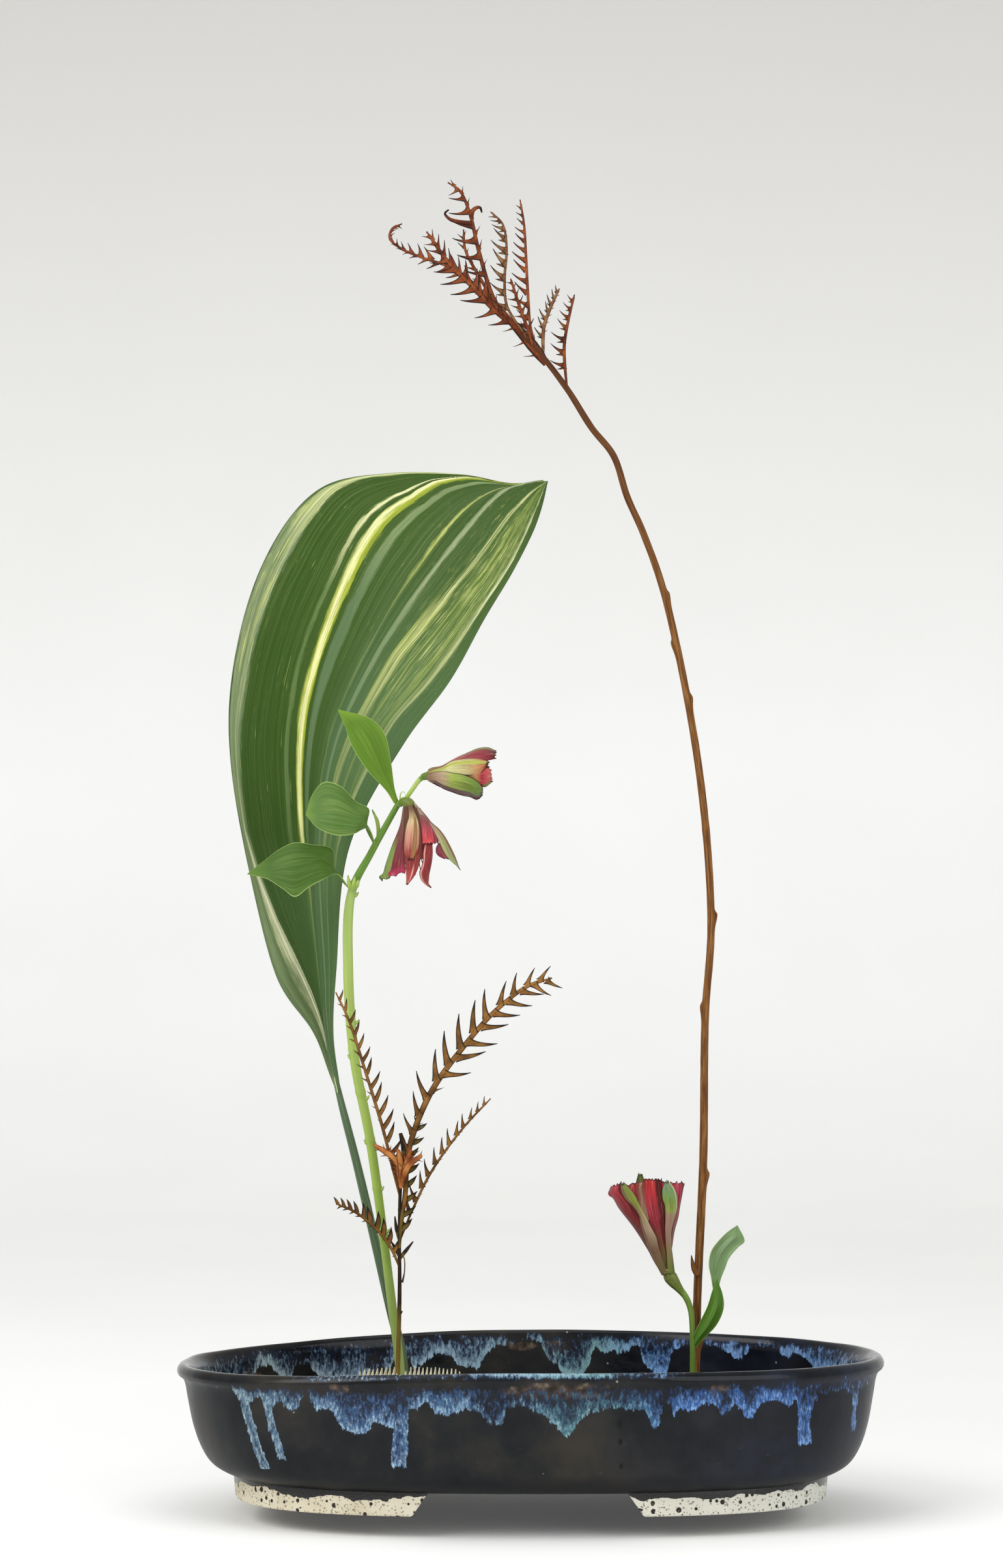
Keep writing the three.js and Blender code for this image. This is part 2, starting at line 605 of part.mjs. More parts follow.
// Fronds at the top of the tall branch. Each starts on the branch's axis and is cut clear of it.
const TALL_FRONDS = [
  {
    path: [[-2.4, -32.5, 578], [-5.5, -29, 582.5], [-12, -26, 589], [-22, -25, 601], [-38, -23, 615],
      [-55, -20, 622], [-66, -19, 627], [-71.5, -20, 632], [-70, -22, 636.5], [-65, -24, 638.5]],
    width: 2, pitch: 5, stalk: 12, left: [5, 6, 5, 1, 0], right: [8, 9, 7, 4, 3], lean: [48, 45],
  },
  {
    path: [[-4.5, -33.2, 580.6], [-18, -38, 591], [-29, -43, 602], [-40, -47, 612], [-52, -52, 628]],
    width: 2.8, pitch: 5.6, stalk: 6, left: [6, 9.5, 9.5, 7, 3], right: [6, 9, 9, 6, 3], lean: [52, 40],
  },
  {
    path: [[-0.8, -32.2, 576.1], [-3, -27, 581], [-10, -21, 589], [-18, -19, 600], [-26, -15, 626],
      [-31, -14, 647], [-36, -14, 658], [-42, -15, 662]],
    width: 2.8, pitch: 7, stalk: 14, left: [9, 11, 11, 8, 3], right: [3, 3, 4, 3, 1], lean: [58, 45],
  },
  {
    path: [[0.6, -32, 574.5], [-1, -26, 580], [-8, -17, 589], [-18, -13, 601], [-27, -11, 616],
      [-33, -10, 628], [-34, -9, 639]],
    width: 1.8, pitch: 6, stalk: 20, left: [4, 5, 4, 3], right: [4, 4, 4, 3], lean: [50, 40],
  },
  {
    path: [[-1.4, -32.3, 576.8], [-4, -36, 581], [-8, -39, 586], [-12, -42, 593], [-13, -45, 605],
      [-12, -48, 621], [-14, -51, 632], [-20, -52, 638]],
    width: 1.2, pitch: 4.6, stalk: 12, left: [8, 9, 9, 7, 3], right: [0, 0, 0, 0, 0], lean: [52, 45],
  },
  {
    path: [[2.5, -31.6, 572.1], [2, -28, 577], [0, -26, 586], [-1, -25, 599], [-2, -22, 620],
      [-3, -18, 639], [-5, -15, 653]],
    width: 1.3, pitch: 5.2, stalk: 12, left: [7, 8, 7, 5, 3], right: [0, 0, 0, 0, 0], lean: [55, 45],
  },
  {
    path: [[1.2, -31.9, 573.7], [0, -36, 577.5], [-2.5, -41, 584], [-5, -45, 590], [-10, -53, 604]],
    width: 1.6, pitch: 5, stalk: 8, left: [5, 6, 5, 3], right: [0, 0, 0, 0], lean: [60, 45],
  },
  {
    path: [[6.2, -31, 567.8], [6.5, -27.5, 573], [6.5, -24, 579], [7, -21, 586], [10, -15, 596],
      [15, -10, 608]],
    width: 1.6, pitch: 4.2, stalk: 9, left: [6, 6, 5, 3], right: [1.5, 1.5, 1, 1], lean: [45, 45],
  },
  {
    path: [[18.5, -29.9, 553], [17.5, -34, 562], [17, -39, 573], [19, -44, 585], [22, -48, 597]],
    width: 1.6, pitch: 4.6, stalk: 8, left: [5, 7, 6, 4], right: [0, 0, 0, 0], lean: [55, 45],
  },
];
// Two teeth of the third frond, curled round like hooks
const CURLED_TEETH = [
  [[-30.5, -14, 641], [-36, -15, 641.5], [-41, -15.5, 643], [-43.4, -15, 646], [-41.5, -14.5, 648]],
  [[-31, -14, 645], [-28, -15, 648.5], [-25.5, -15, 649], [-24.5, -14.5, 646.5]],
];

function tallFronds() {
  const clearance = branchTube(NEIGHBOUR_GAP);
  return TALL_FRONDS.map((details, index) => {
    const hooks = index === 2 ? CURLED_TEETH : [];
    const curled = hooks.map((path) => bentTube(spline(path), [1, 0.7, 0.3], 4, 8));
    const whole = union([frond({ ...details, seed: index + 1 }), ...curled]);
    return mainBody(whole.subtract(clearance));
  });
}

// The short spray: a thin dark stem that ends in a bud, and four fronds
const SPRAY_STEM = {
  path: [[-68, 44, STEM_FOOT], [-68, 44, 54], [-67, 38, 96], [-67, 32, 127], [-66, 26, 160],
    [-65.5, 23, 172]],
  radii: [1.3, 1.2, 1.15, 1.1, 1.1, 1.4, 1.1],
};
const SPRAY_TWIGS = [
  [[-67.2, 36, 112], [-64, 35.5, 116], [-60, 35, 121]],
  [[-67.4, 40, 84], [-65.6, 39.6, 85]],
  [[-66.8, 35, 115], [-65.4, 35, 113], [-65.8, 36, 103]],
];
const SPRAY_FRONDS = [
  {
    path: [[-67, 32.2, 128], [-64, 26, 143], [-62, 19, 168], [-51, 11, 197], [-34, 5, 221], [-17, -2, 240],
      [-1, -7, 252], [11, -10, 256]],
    width: 2.4, pitch: 8, stalk: 8, lean: [42, 46],
    left: [6, 4, 9, 12, 12, 9, 5], right: [8, 8, 5, 9, 11, 8, 4],
  },
  {
    path: [[-66.6, 29, 144], [-70, 24, 158], [-75, 18, 179], [-84, 12, 209], [-92, 9, 234], [-99, 8, 249]],
    width: 1.5, pitch: 7, stalk: 14, left: [0, 1, 2, 1, 0], right: [8, 9, 9, 6, 3], lean: [45, 40],
  },
  {
    path: [[-67, 33.6, 121], [-60, 29, 138], [-50, 23, 158], [-34, 14, 180], [-20, 9, 195]],
    width: 1.1, pitch: 6.4, stalk: 10, left: [7, 8, 6, 4, 3], right: [0, 0, 1, 0, 0], lean: [38, 40],
  },
  {
    path: [[-67, 35.6, 108], [-72, 33, 119], [-80, 29, 129], [-90, 25, 137], [-99, 22, 141]],
    width: 1.7, pitch: 4.6, stalk: 6, left: [1, 1, 2, 2, 2], right: [6, 7, 7, 6, 4], lean: [48, 42],
  },
];

const sprayTube = (extra) =>
  bentTube(spline(SPRAY_STEM.path), SPRAY_STEM.radii.map((radius) => radius + extra), 7, 18);

function sprayStem() {
  const twigs = SPRAY_TWIGS.map((path) => bentTube(spline(path), [0.9, 0.8, 0.35], 4, 4));
  return union([sprayTube(0), ...twigs]);
}

function sprayFronds() {
  const clearance = sprayTube(NEIGHBOUR_GAP);
  return SPRAY_FRONDS.map((details, index) =>
    mainBody(frond({ ...details, facing: [0, -1, 0.2], seed: index + 21 }).subtract(clearance)),
  );
}

// Where each stem stands among the pins
const foot = ({ path: [[x, y]], radii: [radius] }) => ({ x, y, radius });
const LEFT_FEET = [LEAF_STALK, FLOWER_STEM, SPRAY_STEM].map(foot);
const RIGHT_FEET = [BRANCH, SHORT_STEM].map(foot);

const group = new THREE.Group();

function place(name, solid, color, roughness, metalness = 0) {
  const material = new THREE.MeshStandardMaterial({ color, roughness, metalness });
  const mesh = new THREE.Mesh(fromSolid(solid), material);
  mesh.name = name;
  group.add(mesh);
}

place("bowl", bowl(), 0x1b1c22, 0.2);
place("water", water(), 0x8fa6a8, 0.05);
place("left_needle_holder", kenzan(LEFT_KENZAN, LEFT_FEET), 0xb8a77a, 0.35, 0.9);
place("right_needle_holder", kenzan(RIGHT_KENZAN, RIGHT_FEET), 0xb8a77a, 0.35, 0.9);
place("striped_leaf", stripedLeaf(), 0x47663a, 0.45);
place("leafy_flower_stem", leafyStem(), 0x86ad4e, 0.5);
place("side_bloom", bloom(SIDE_BLOOM), 0xa8394a, 0.6);
place("hanging_bloom", bloom(HANGING_BLOOM), 0x9f2f42, 0.6);
place("upright_bloom", bloom(UPRIGHT_BLOOM), 0xb5273f, 0.6);
place("short_flower_stem", shortStem(), 0x6d9a45, 0.5);
place("tall_branch", tallBranch(), 0x80552c, 0.8);
tallFronds().forEach((solid, index) => place("tall_frond_" + (index + 1), solid, 0x9a4a1c, 0.75));
place("spray_stem", sprayStem(), 0x3a2a1c, 0.75);
sprayFronds().forEach((solid, index) => place("spray_frond_" + (index + 1), solid, 0x8f6a2a, 0.75));

export default group;
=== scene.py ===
# %% [markdown]
# # An ikebana arrangement in an oval bowl
# A shallow glazed bowl holds two needle holders in water. On the left one stand a big striped
# leaf, a leafy flower stem and a short toothed spray, and on the right one a tall bowed branch
# with dried fronds and a short flower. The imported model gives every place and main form. This
# script makes the surfaces finer and gives each its finish.

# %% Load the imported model
import math
from functools import partial

import bpy
import numpy as np
from mathutils import Matrix, Vector


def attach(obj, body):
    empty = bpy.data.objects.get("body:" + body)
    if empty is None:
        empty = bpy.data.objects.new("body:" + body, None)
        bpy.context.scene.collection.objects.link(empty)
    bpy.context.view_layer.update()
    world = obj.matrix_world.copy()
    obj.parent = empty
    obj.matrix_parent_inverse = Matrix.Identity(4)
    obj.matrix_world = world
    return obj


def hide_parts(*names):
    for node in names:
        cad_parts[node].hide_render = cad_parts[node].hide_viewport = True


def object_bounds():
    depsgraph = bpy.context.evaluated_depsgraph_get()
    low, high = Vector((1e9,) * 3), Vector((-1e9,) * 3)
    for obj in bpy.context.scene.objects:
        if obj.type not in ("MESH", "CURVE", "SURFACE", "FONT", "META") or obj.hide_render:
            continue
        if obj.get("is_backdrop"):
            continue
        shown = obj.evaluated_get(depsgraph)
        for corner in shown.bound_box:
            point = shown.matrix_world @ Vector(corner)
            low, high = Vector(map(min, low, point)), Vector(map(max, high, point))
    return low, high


MM = 0.001
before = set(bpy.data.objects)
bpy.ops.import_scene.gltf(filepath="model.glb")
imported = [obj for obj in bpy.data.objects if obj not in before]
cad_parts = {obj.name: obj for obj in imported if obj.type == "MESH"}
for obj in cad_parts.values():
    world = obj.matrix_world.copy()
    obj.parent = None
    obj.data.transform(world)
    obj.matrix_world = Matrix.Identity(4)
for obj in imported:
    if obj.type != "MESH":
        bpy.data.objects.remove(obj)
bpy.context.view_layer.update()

# %% [markdown]
# The camera comes first. It stands 1.75 m in front of the bowl and a little above its rim, and
# looks slightly up, so the bowl's mouth shows as a thin oval. A long lens keeps the bowl's two
# ends at nearly the same size, as in a catalogue photograph.

# %% Camera
CAMERA_PLACE = (-14.5, -1745, 236)
CAMERA_TILT_DEG = 3.8956
LENS_MM = 78.82


def new_object(name, data):
    made = bpy.data.objects.new(name, data)
    bpy.context.scene.collection.objects.link(made)
    return made


camera_data = bpy.data.cameras.new("camera")
camera_data.lens = LENS_MM
camera = new_object("camera", camera_data)
camera.location = Vector(CAMERA_PLACE) * MM
camera.rotation_euler = (math.radians(90 + CAMERA_TILT_DEG), 0, 0)
bpy.context.scene.camera = camera
bpy.context.scene.view_settings.view_transform = "Standard"

# %% [markdown]
# Most plant parts are a sheet or a tube that follows a curve. A grid primitive suits both: its
# vertices are moved by a formula of u, across, and v, along, and its UV map keeps u and v for
# the material. A sheet then gets its thickness from a Solidify modifier, and a tube is closed
# where its two long edges meet.

# %% Selection, modifiers and joining
SEAM_GAP = 0.002


def select_only(piece):
    bpy.ops.object.select_all(action="DESELECT")
    piece.select_set(True)
    bpy.context.view_layer.objects.active = piece


def apply_modifier(piece, kind, **settings):
    select_only(piece)
    modifier = piece.modifiers.new(kind, kind)
    for name, value in settings.items():
        setattr(modifier, name, value)
    bpy.ops.object.modifier_apply(modifier=modifier.name)


def round_edges(piece, width, segments):
    apply_modifier(piece, "BEVEL", width=width * MM, segments=segments, limit_method="ANGLE",
                   angle_limit=math.radians(40))


def close_seams(piece):
    """Join the vertices that meet, and turn the faces out."""
    select_only(piece)
    bpy.ops.object.mode_set(mode="EDIT")
    bpy.ops.mesh.select_all(action="SELECT")
    bpy.ops.mesh.remove_doubles(threshold=SEAM_GAP * MM)
    bpy.ops.mesh.normals_make_consistent(inside=False)
    bpy.ops.object.mode_set(mode="OBJECT")


def join(pieces):
    """Join several meshes into the first one."""
    select_only(pieces[0])
    for piece in pieces:
        piece.select_set(True)
    bpy.ops.object.join()
    return pieces[0]


# %% Grids bent by a formula
def shaped_grid(columns, rows, place, **marks):
    """A grid with its vertices at place(u, v), in millimetres, and named values on them."""
    bpy.ops.object.select_all(action="DESELECT")
    bpy.ops.mesh.primitive_grid_add(x_subdivisions=columns, y_subdivisions=rows, size=2)
    piece = bpy.context.object
    vertices = piece.data.vertices
    flat = np.empty(3 * len(vertices))
    vertices.foreach_get("co", flat)
    u, v = (flat.reshape(-1, 3)[:, :2].T + 1) / 2
    points = place(u, v)
    vertices.foreach_set("co", (points * MM).ravel())
    for name, rule in marks.items():
        layer = piece.data.attributes.new(name, "FLOAT", "POINT")
        layer.data.foreach_set("value", rule(u, v, points))
    close_seams(piece)
    return piece


def sheet(columns, rows, place, thickness, **marks):
    piece = shaped_grid(columns, rows, place, **marks)
    apply_modifier(piece, "SOLIDIFY", thickness=thickness * MM, offset=0)
    return piece


# %% Smooth curves through a few points
def curve_through(points, shares):
    """Points of a smooth curve at shares that count evenly from knot to knot."""
    knots = np.array(points, float)
    padded = np.vstack([2 * knots[0] - knots[1], knots, 2 * knots[-1] - knots[-2]])
    steps = np.sqrt(np.linalg.norm(np.diff(padded, axis=0), axis=1))
    position = np.clip(shares, 0, 1) * (len(knots) - 1)
    index = np.minimum(position.astype(int), len(knots) - 2)
    w = (position - index)[:, None]
    a, b, c, d = (padded[index + k] for k in range(4))
    before, middle, after = (steps[index + k][:, None] for k in range(3))
    out = ((b - a) / before - (c - a) / (before + middle) + (c - b) / middle) * middle
    into = ((c - b) / middle - (d - b) / (middle + after) + (d - c) / after) * middle
    cubic = 2 * b - 2 * c + out + into
    square = -3 * b + 3 * c - 2 * out - into
    return b + out * w + square * w**2 + cubic * w**3


def reach_along(points):
    """The distance along a row of points."""
    return np.concatenate([[0], np.cumsum(np.linalg.norm(np.diff(points, axis=0), axis=1))])


def points_at(places, reach, points):
    """Points of a line at some places, from the places and coordinates of its own points."""
    return np.stack([np.interp(places, reach, column) for column in points.T], -1)


def even_curve(points, count):
    """Evenly spaced points of the same curve."""
    shares = np.linspace(0, 1, 1500)
    reach = reach_along(curve_through(points, shares))
    return curve_through(points, np.interp(np.linspace(0, reach[-1], count), reach, shares))


def unit(vectors):
    return vectors / np.maximum(np.linalg.norm(vectors, axis=-1, keepdims=True), 1e-9)


def stations(values, share):
    """A value that follows evenly spaced stations, share from 0 to 1."""
    return np.interp(share, np.linspace(0, 1, len(values)), values)


def ripple(seed, *places):
    """A smooth wavy value from -1 to 1 that looks random along each of the places."""
    total = 0
    for order, place in enumerate(places):
        total = total + np.sin(place + seed * (1.7 + order)) + np.sin(1.93 * place + seed * 2.9)
    return total / (2 * len(places))


# %% Tubes along a curve
def carried_frames(centres):
    """The direction along a path, and two across it that don't twist."""
    growth = unit(np.gradient(centres, axis=0))
    side = np.cross(growth[0], (0.0, 1.0, 0.1))
    sides = []
    for direction in growth:
        side = unit(side - direction * side.dot(direction))
        sides.append(side)
    return np.array(sides), np.cross(growth, sides)


def tube(path, radii, sides, rings, swell=None, **marks):
    """A closed tube. Its u starts on the left and turns past the front; swell scales it."""
    centres = even_curve(path, rings + 1)
    first, second = carried_frames(centres)

    def place(u, v):
        row = np.rint(v * (rings + 2)).astype(int)
        ring = np.clip(row - 1, 0, rings)
        radius = stations(radii, ring / rings)
        if swell:
            radius = radius * swell(u, ring / rings)
        radius = np.where((row == 0) | (row == rings + 2), 0, radius)[:, None]
        turn = 2 * np.pi * u[:, None]
        return centres[ring] + radius * (np.cos(turn) * first[ring] + np.sin(turn) * second[ring])

    return shaped_grid(sides, rings + 2, place, **marks)


# %% Leaf blades through cross lines
def blade(cross_lines, tip, columns, rows, bulge, thickness, relief=None, **marks):
    """A blade through lines of left edge, rib and right edge, with halves that bulge."""
    shares = np.linspace(0, 1, rows + 1)
    left, rib, right = (
        curve_through([line[side] for line in cross_lines] + [tip], shares) for side in range(3)
    )
    normals = np.cross(unit(np.gradient(rib, axis=0)), unit(right - left))
    normals[-1] = normals[-2]
    normals = unit(normals)

    def place(u, v):
        row = np.rint(v * rows).astype(int)
        across = 2 * u - 1
        edge = np.where((across < 0)[:, None], left[row], right[row])
        flat = rib[row] + (edge - rib[row]) * abs(across)[:, None]
        fullness = np.where(across < 0, *bulge)
        lift = fullness * np.sin(np.pi * abs(across)) * np.sin(np.pi * v)
        if relief:
            lift = lift + relief(across, v)
        return flat + normals[row] * lift[:, None]

    return sheet(columns, rows, place, thickness, **marks)


# %% [markdown]
# Every finished piece rides on the model's one body and stands for its imported node. Its object
# stays at the origin and its place is in its mesh.

# %% Finish a piece
def settle(piece, name, material, stands_for=(), smooth_deg=50):
    piece.name = name
    piece.data.name = name
    piece.data.materials.clear()
    piece.data.materials.append(material)
    select_only(piece)
    bpy.ops.object.shade_smooth_by_angle(angle=math.radians(smooth_deg))
    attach(piece, "root")
    for node in stands_for:
        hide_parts(node)
    print(name, len(piece.data.polygons), "faces")
    return piece


# %% [markdown]
# Materials are node trees. One helper adds any node: its settings by name, its inputs as values
# or as links from another node, and the stops of a colour ramp.

# %% Colours and nodes
def linear(value):
    """An sRGB hex value as a linear colour."""
    parts = [int(value[i : i + 2], 16) / 255 for i in (1, 3, 5)]
    return [p / 12.92 if p <= 0.04045 else ((p + 0.055) / 1.055) ** 2.4 for p in parts] + [1]


def output_of(node):
    """A node's result, which for a Mix is its third output because all of them mix colours."""
    return node.outputs[2 if node.bl_idname == "ShaderNodeMix" else 0]


def add_node(tree, kind, inputs=None, stops=None, **settings):
    new = tree.nodes.new("ShaderNode" + kind)
    if kind == "Mix":
        new.data_type = "RGBA"
    for name, value in settings.items():
        setattr(new, name, value)
    for name, value in (inputs or {}).items():
        if isinstance(value, bpy.types.Node):
            value = output_of(value)
        if isinstance(value, bpy.types.NodeSocket):
            tree.links.new(value, new.inputs[name])
        else:
            value = linear(value) if isinstance(value, str) else value
            new.inputs[name].default_value = value
    if stops:
        ramp = new.color_ramp.elements
        while len(ramp) < len(stops):
            ramp.new(0.5)
        for element, (place, value) in zip(ramp, stops):
            element.position = place
            element.color = linear(value) if isinstance(value, str) else [value] * 3 + [1]
    return new


def new_material(name, **shader):
    """A material with its constant sockets set, and two functions: one adds a node to it,
    the other links nodes to its Principled shader."""
    material = bpy.data.materials.new(name)
    material.use_nodes = True
    tree = material.node_tree
    sockets = tree.nodes["Principled BSDF"].inputs
    for socket, value in shader.items():
        value = linear(value) if isinstance(value, str) else value
        sockets[socket.replace("_", " ")].default_value = value

    def feed(**links):
        for socket, node in links.items():
            tree.links.new(output_of(node), sockets[socket.replace("_", " ")])

    return material, partial(add_node, tree), feed


# %% [markdown]
# Five steps come up in most finishes: the coordinates, a colour laid over another by some
# measure, noise stretched into lines, a value that wavers with a noise, and the distance from
# a middle.

# %% Steps that the finishes share
def located(add, kind):
    """Object or UV coordinates, as one vector and as separate X, Y and Z."""
    coords = add("TexCoord").outputs[kind]
    return coords, add("SeparateXYZ", {"Vector": coords}).outputs


def painted(add, under, colour, measure, low, high, most=1):
    """A colour laid over another as a measure goes from low to high, up to the share most."""
    mask = add("MapRange", {"Value": measure, "From Min": low, "From Max": high, "To Max": most})
    return add("Mix", {0: mask, 6: under, 7: colour})


def stretched_noise(add, where, stretch, **settings):
    """Noise whose spots are stretched to lines: the longest way has the smallest factor."""
    stretched = add("VectorMath", {0: where, 1: stretch}, operation="MULTIPLY")
    return add("TexNoise", {"Vector": stretched, "Scale": 1, **settings})


def wavering(add, value, noise, amount):
    """A value that a noise moves up and down by half the amount."""
    waver = add("Math", {0: noise, 1: amount, 2: -amount / 2}, operation="MULTIPLY_ADD")
    return add("Math", {0: value, 1: waver}, operation="ADD")


def distance_from(add, value, middle=0.5):
    aside = add("Math", {0: value, 1: middle}, operation="SUBTRACT")
    return add("Math", {0: aside}, operation="ABSOLUTE")


# %% [markdown]
# The bowl is stoneware, pressed or thrown as an oval and dipped in a dark runny glaze. Its
# outline is a lathe profile carried round an oval that is squarer at the foot than at the rim,
# and both ends of the rim sink a little. The hand-made wall is wavy by some tenths of a
# millimetre. Two separate pieces make the bare foot.

# %% Bowl outline
BOWL_HALF_LENGTH = 178
BOWL_HALF_WIDTH = 116
RIM_HEIGHT = 69
FLOOR_HEIGHT = 26
FOOT_HEIGHT = 11
FOOT_EXPONENT = 2.9
RIM_EXPONENT = 2.2
FOOT_SPREAD = 0.3
# Both ends of the rim sink, from a share of the half length on
END_DROOP = {"start": 0.05, "left": 5.2, "right": 1.2}
# The wall's waves in mm, the radii between which they set in, and their share in the height
WALL_WAVE = 0.55
WAVY_FROM = (60, 150)
WAVE_IN_HEIGHT = 0.4
# The oval on which turns are evenly spaced, and the share past which one is back at the start
RIM_RADIUS = 174.0
BAND_HEIGHT = 60.0
TURN_STEPS = 4001
BACK_AT_START = 0.9999
OUTER_WALL = [(0, 11), (90, 11), (143, 11), (148.5, 11.2), (159.5, 16.5), (165, 24),
              (169, 35), (172.2, 50), (173.8, 58.5), (175, 61.2), (177.2, 63)]
RIM_AND_INSIDE = [(177.9, 65.6), (176.3, 68.5), (174, 69), (171.5, 67.6), (168.6, 63.4),
                  (167, 58), (165, 50), (161, 37.5), (153, 29.5), (140, 26.2), (80, 26), (0, 26)]


def smoothstep(value, low, high):
    share = np.clip((value - low) / (high - low), 0, 1)
    return share * share * (3 - 2 * share)


def on_oval(radius, turn, height):
    """The place of a lathe point at a radius and a turn on the oval bowl."""
    exponent = FOOT_EXPONENT + (RIM_EXPONENT - FOOT_EXPONENT) * np.minimum(height / RIM_HEIGHT, 1)
    share = radius / BOWL_HALF_LENGTH
    depth = BOWL_HALF_WIDTH * share * (1 + FOOT_SPREAD * (1 - share))
    x = radius * np.sign(np.cos(turn)) * abs(np.cos(turn)) ** (2 / exponent)
    y = depth * np.sign(np.sin(turn)) * abs(np.sin(turn)) ** (2 / exponent)
    reach = smoothstep(abs(x) / BOWL_HALF_LENGTH, END_DROOP["start"], 1)
    rise = np.clip((height - FLOOR_HEIGHT) / (RIM_HEIGHT - FLOOR_HEIGHT), 0, 1)
    droop = reach * rise * np.where(x < 0, END_DROOP["left"], END_DROOP["right"])
    return np.stack([x, y, height - droop], 1)


def even_turns(u):
    """Turns that space the vertices evenly round the oval, from the right end past the front."""
    fine = np.linspace(0, -2 * np.pi, TURN_STEPS)
    ring = on_oval(np.full(TURN_STEPS, RIM_RADIUS), fine, np.full(TURN_STEPS, BAND_HEIGHT))
    reach = reach_along(ring)
    u = np.where(u > BACK_AT_START, 0, u)
    return np.interp(u * reach[-1], reach, fine)


# %% [markdown]
# The glaze ran down from the rim and stopped in drips. The runs are given as the height of
# their lower edge along the wall and as how much blue glaze came down there. Each vertex keeps
# how far it lies above that edge and that strength. The material turns both into colour, with
# noise that makes the edge ragged and breaks the run into streaks.

# %% Where the glaze ran
# Place along the bowl and height of the run's lower edge on the outer front wall, in mm, and
# the strength of the run there
FRONT_RUN = [
    (-178, 60, 0), (-159, 60.5, 0.1), (-156, 60, 0.25), (-152.5, 55.5, 0.3), (-149, 61, 0.3),
    (-146, 60.5, 0.8), (-142, 55.5, 0.9), (-139, 52, 1), (-136.5, 51, 1), (-133.5, 53, 0.6),
    (-130.5, 55.5, 0.8), (-128, 52, 1), (-125, 51, 1), (-122, 53, 0.6), (-119, 53, 0.8),
    (-114.5, 48.5, 1), (-111, 52, 0.5), (-108, 56.5, 0.15), (-106, 55.5, 0.3), (-103.5, 51, 1),
    (-95, 50.5, 1), (-92.5, 46.5, 1), (-89.5, 42, 1), (-86, 41, 1), (-81, 40.5, 1),
    (-76.5, 42, 1), (-74.5, 45.5, 0.9), (-68.5, 44, 1), (-65, 41.5, 1), (-59.5, 43, 1),
    (-58, 51.5, 0.5), (-53.5, 53, 0.9), (-51, 55, 0.9), (-45, 49.5, 1), (-35.5, 52, 1),
    (-29, 51.5, 0.8), (-25, 50.5, 0.5), (-21, 46, 0.35), (-17, 45, 0.45), (-13.5, 46.5, 0.8),
    (-12, 52.5, 0.4), (-4, 55, 0.4), (4, 50, 0.7), (9.5, 46.5, 0.8), (13, 42, 1),
    (16.5, 38.5, 1), (19, 40.5, 1), (21, 46.5, 0.9), (24, 50, 0.7), (29, 52.5, 0.55),
    (42, 53, 0.5), (53, 52.5, 0.8), (55.5, 46.5, 1), (58, 44.5, 1), (60.5, 45, 0.7),
    (61.5, 53.5, 0.1), (65.5, 53.5, 0.1), (66.5, 47, 0.9), (69.5, 51.5, 0.9), (74, 51, 1),
    (88, 54, 0.8), (89, 48.5, 0.35), (93, 49, 0.5), (95, 54.5, 0.9), (99, 52.5, 0.9),
    (102, 46.5, 1), (104.5, 45.5, 1), (107, 50.5, 0.9), (111, 54.5, 1), (120, 53, 1),
    (124.5, 50, 1), (126.5, 54.5, 0.5), (128, 46, 1), (133.5, 46, 1), (135.5, 51.5, 0.4),
    (138.5, 55, 0.2), (148, 56.5, 0.3), (153.5, 57.5, 0.5), (155, 55, 0.2), (157.5, 49, 0.5),
    (160, 55, 0.5), (167, 58.5, 0.2), (178, 60, 0.1),
]
# Lower edge and strength on the inner back wall
BACK_RUN = [
    (-178, 56, 0.2), (-167, 54.5, 0.4), (-155, 52.5, 0.4), (-146, 46.5, 0.3), (-141, 54, 0.8),
    (-136, 54, 1), (-131, 47.5, 1), (-128, 44, 1), (-125, 44, 0.9), (-124, 52.5, 0.2),
    (-116, 53.5, 0.2), (-114, 49.5, 0.9), (-110, 44, 1), (-100, 42, 1), (-89, 44, 1),
    (-86, 47.5, 0.35), (-77, 47.5, 0.3), (-74, 50, 0.8), (-71, 54, 0.6), (-64, 54.5, 0.3),
    (-62, 49, 0.9), (-57, 51, 0.9), (-52, 55.5, 0.9), (-46, 57, 0.9), (-38, 51.5, 1),
    (-32, 49, 1), (-28, 48.5, 1), (-25, 52, 1), (-22, 57, 1), (-19, 61, 0.9), (-13, 62, 0.6),
    (-11, 62.5, 0.15), (-3, 64.5, 0.1), (6, 64, 0.7), (11, 53.5, 0.5), (15, 51.5, 0.7),
    (19, 45, 1), (24, 43.5, 1), (28, 45, 1), (33, 53, 1), (35, 59, 1), (50, 58, 1),
    (56, 60, 0.9), (59, 61.5, 0.7), (62, 51, 0.8), (66, 46, 1), (70, 44.5, 1), (74, 46.5, 0.9),
    (75.5, 55, 0.5), (78, 62, 0.8), (89, 62.5, 0.3), (102, 62.5, 0.3), (106, 59.5, 0.8),
    (111, 55, 0.9), (116, 60.5, 0.6), (118, 63, 0.2), (130, 62.5, 0.4), (133, 59.5, 1),
    (136, 57.5, 1), (139, 61.5, 0.6), (144, 60, 0.9), (148, 54, 1), (155, 53.5, 0.9),
    (163, 55, 0.8), (167, 53, 0.6), (178, 52, 0.5),
]
# Drips: place along the bowl, lean per mm of height, half width, top and bottom height
FRONT_DRIPS = [(-138, 0.35, 2.1, 50.5, 20.5), (-127, 0.32, 1.8, 51, 26.5),
               (-62.7, 0, 3.3, 44, 24), (130.7, 0, 3.2, 49, 34), (158.5, -0.08, 1.1, 59, 36),
               (154, 0, 0.9, 63, 57)]
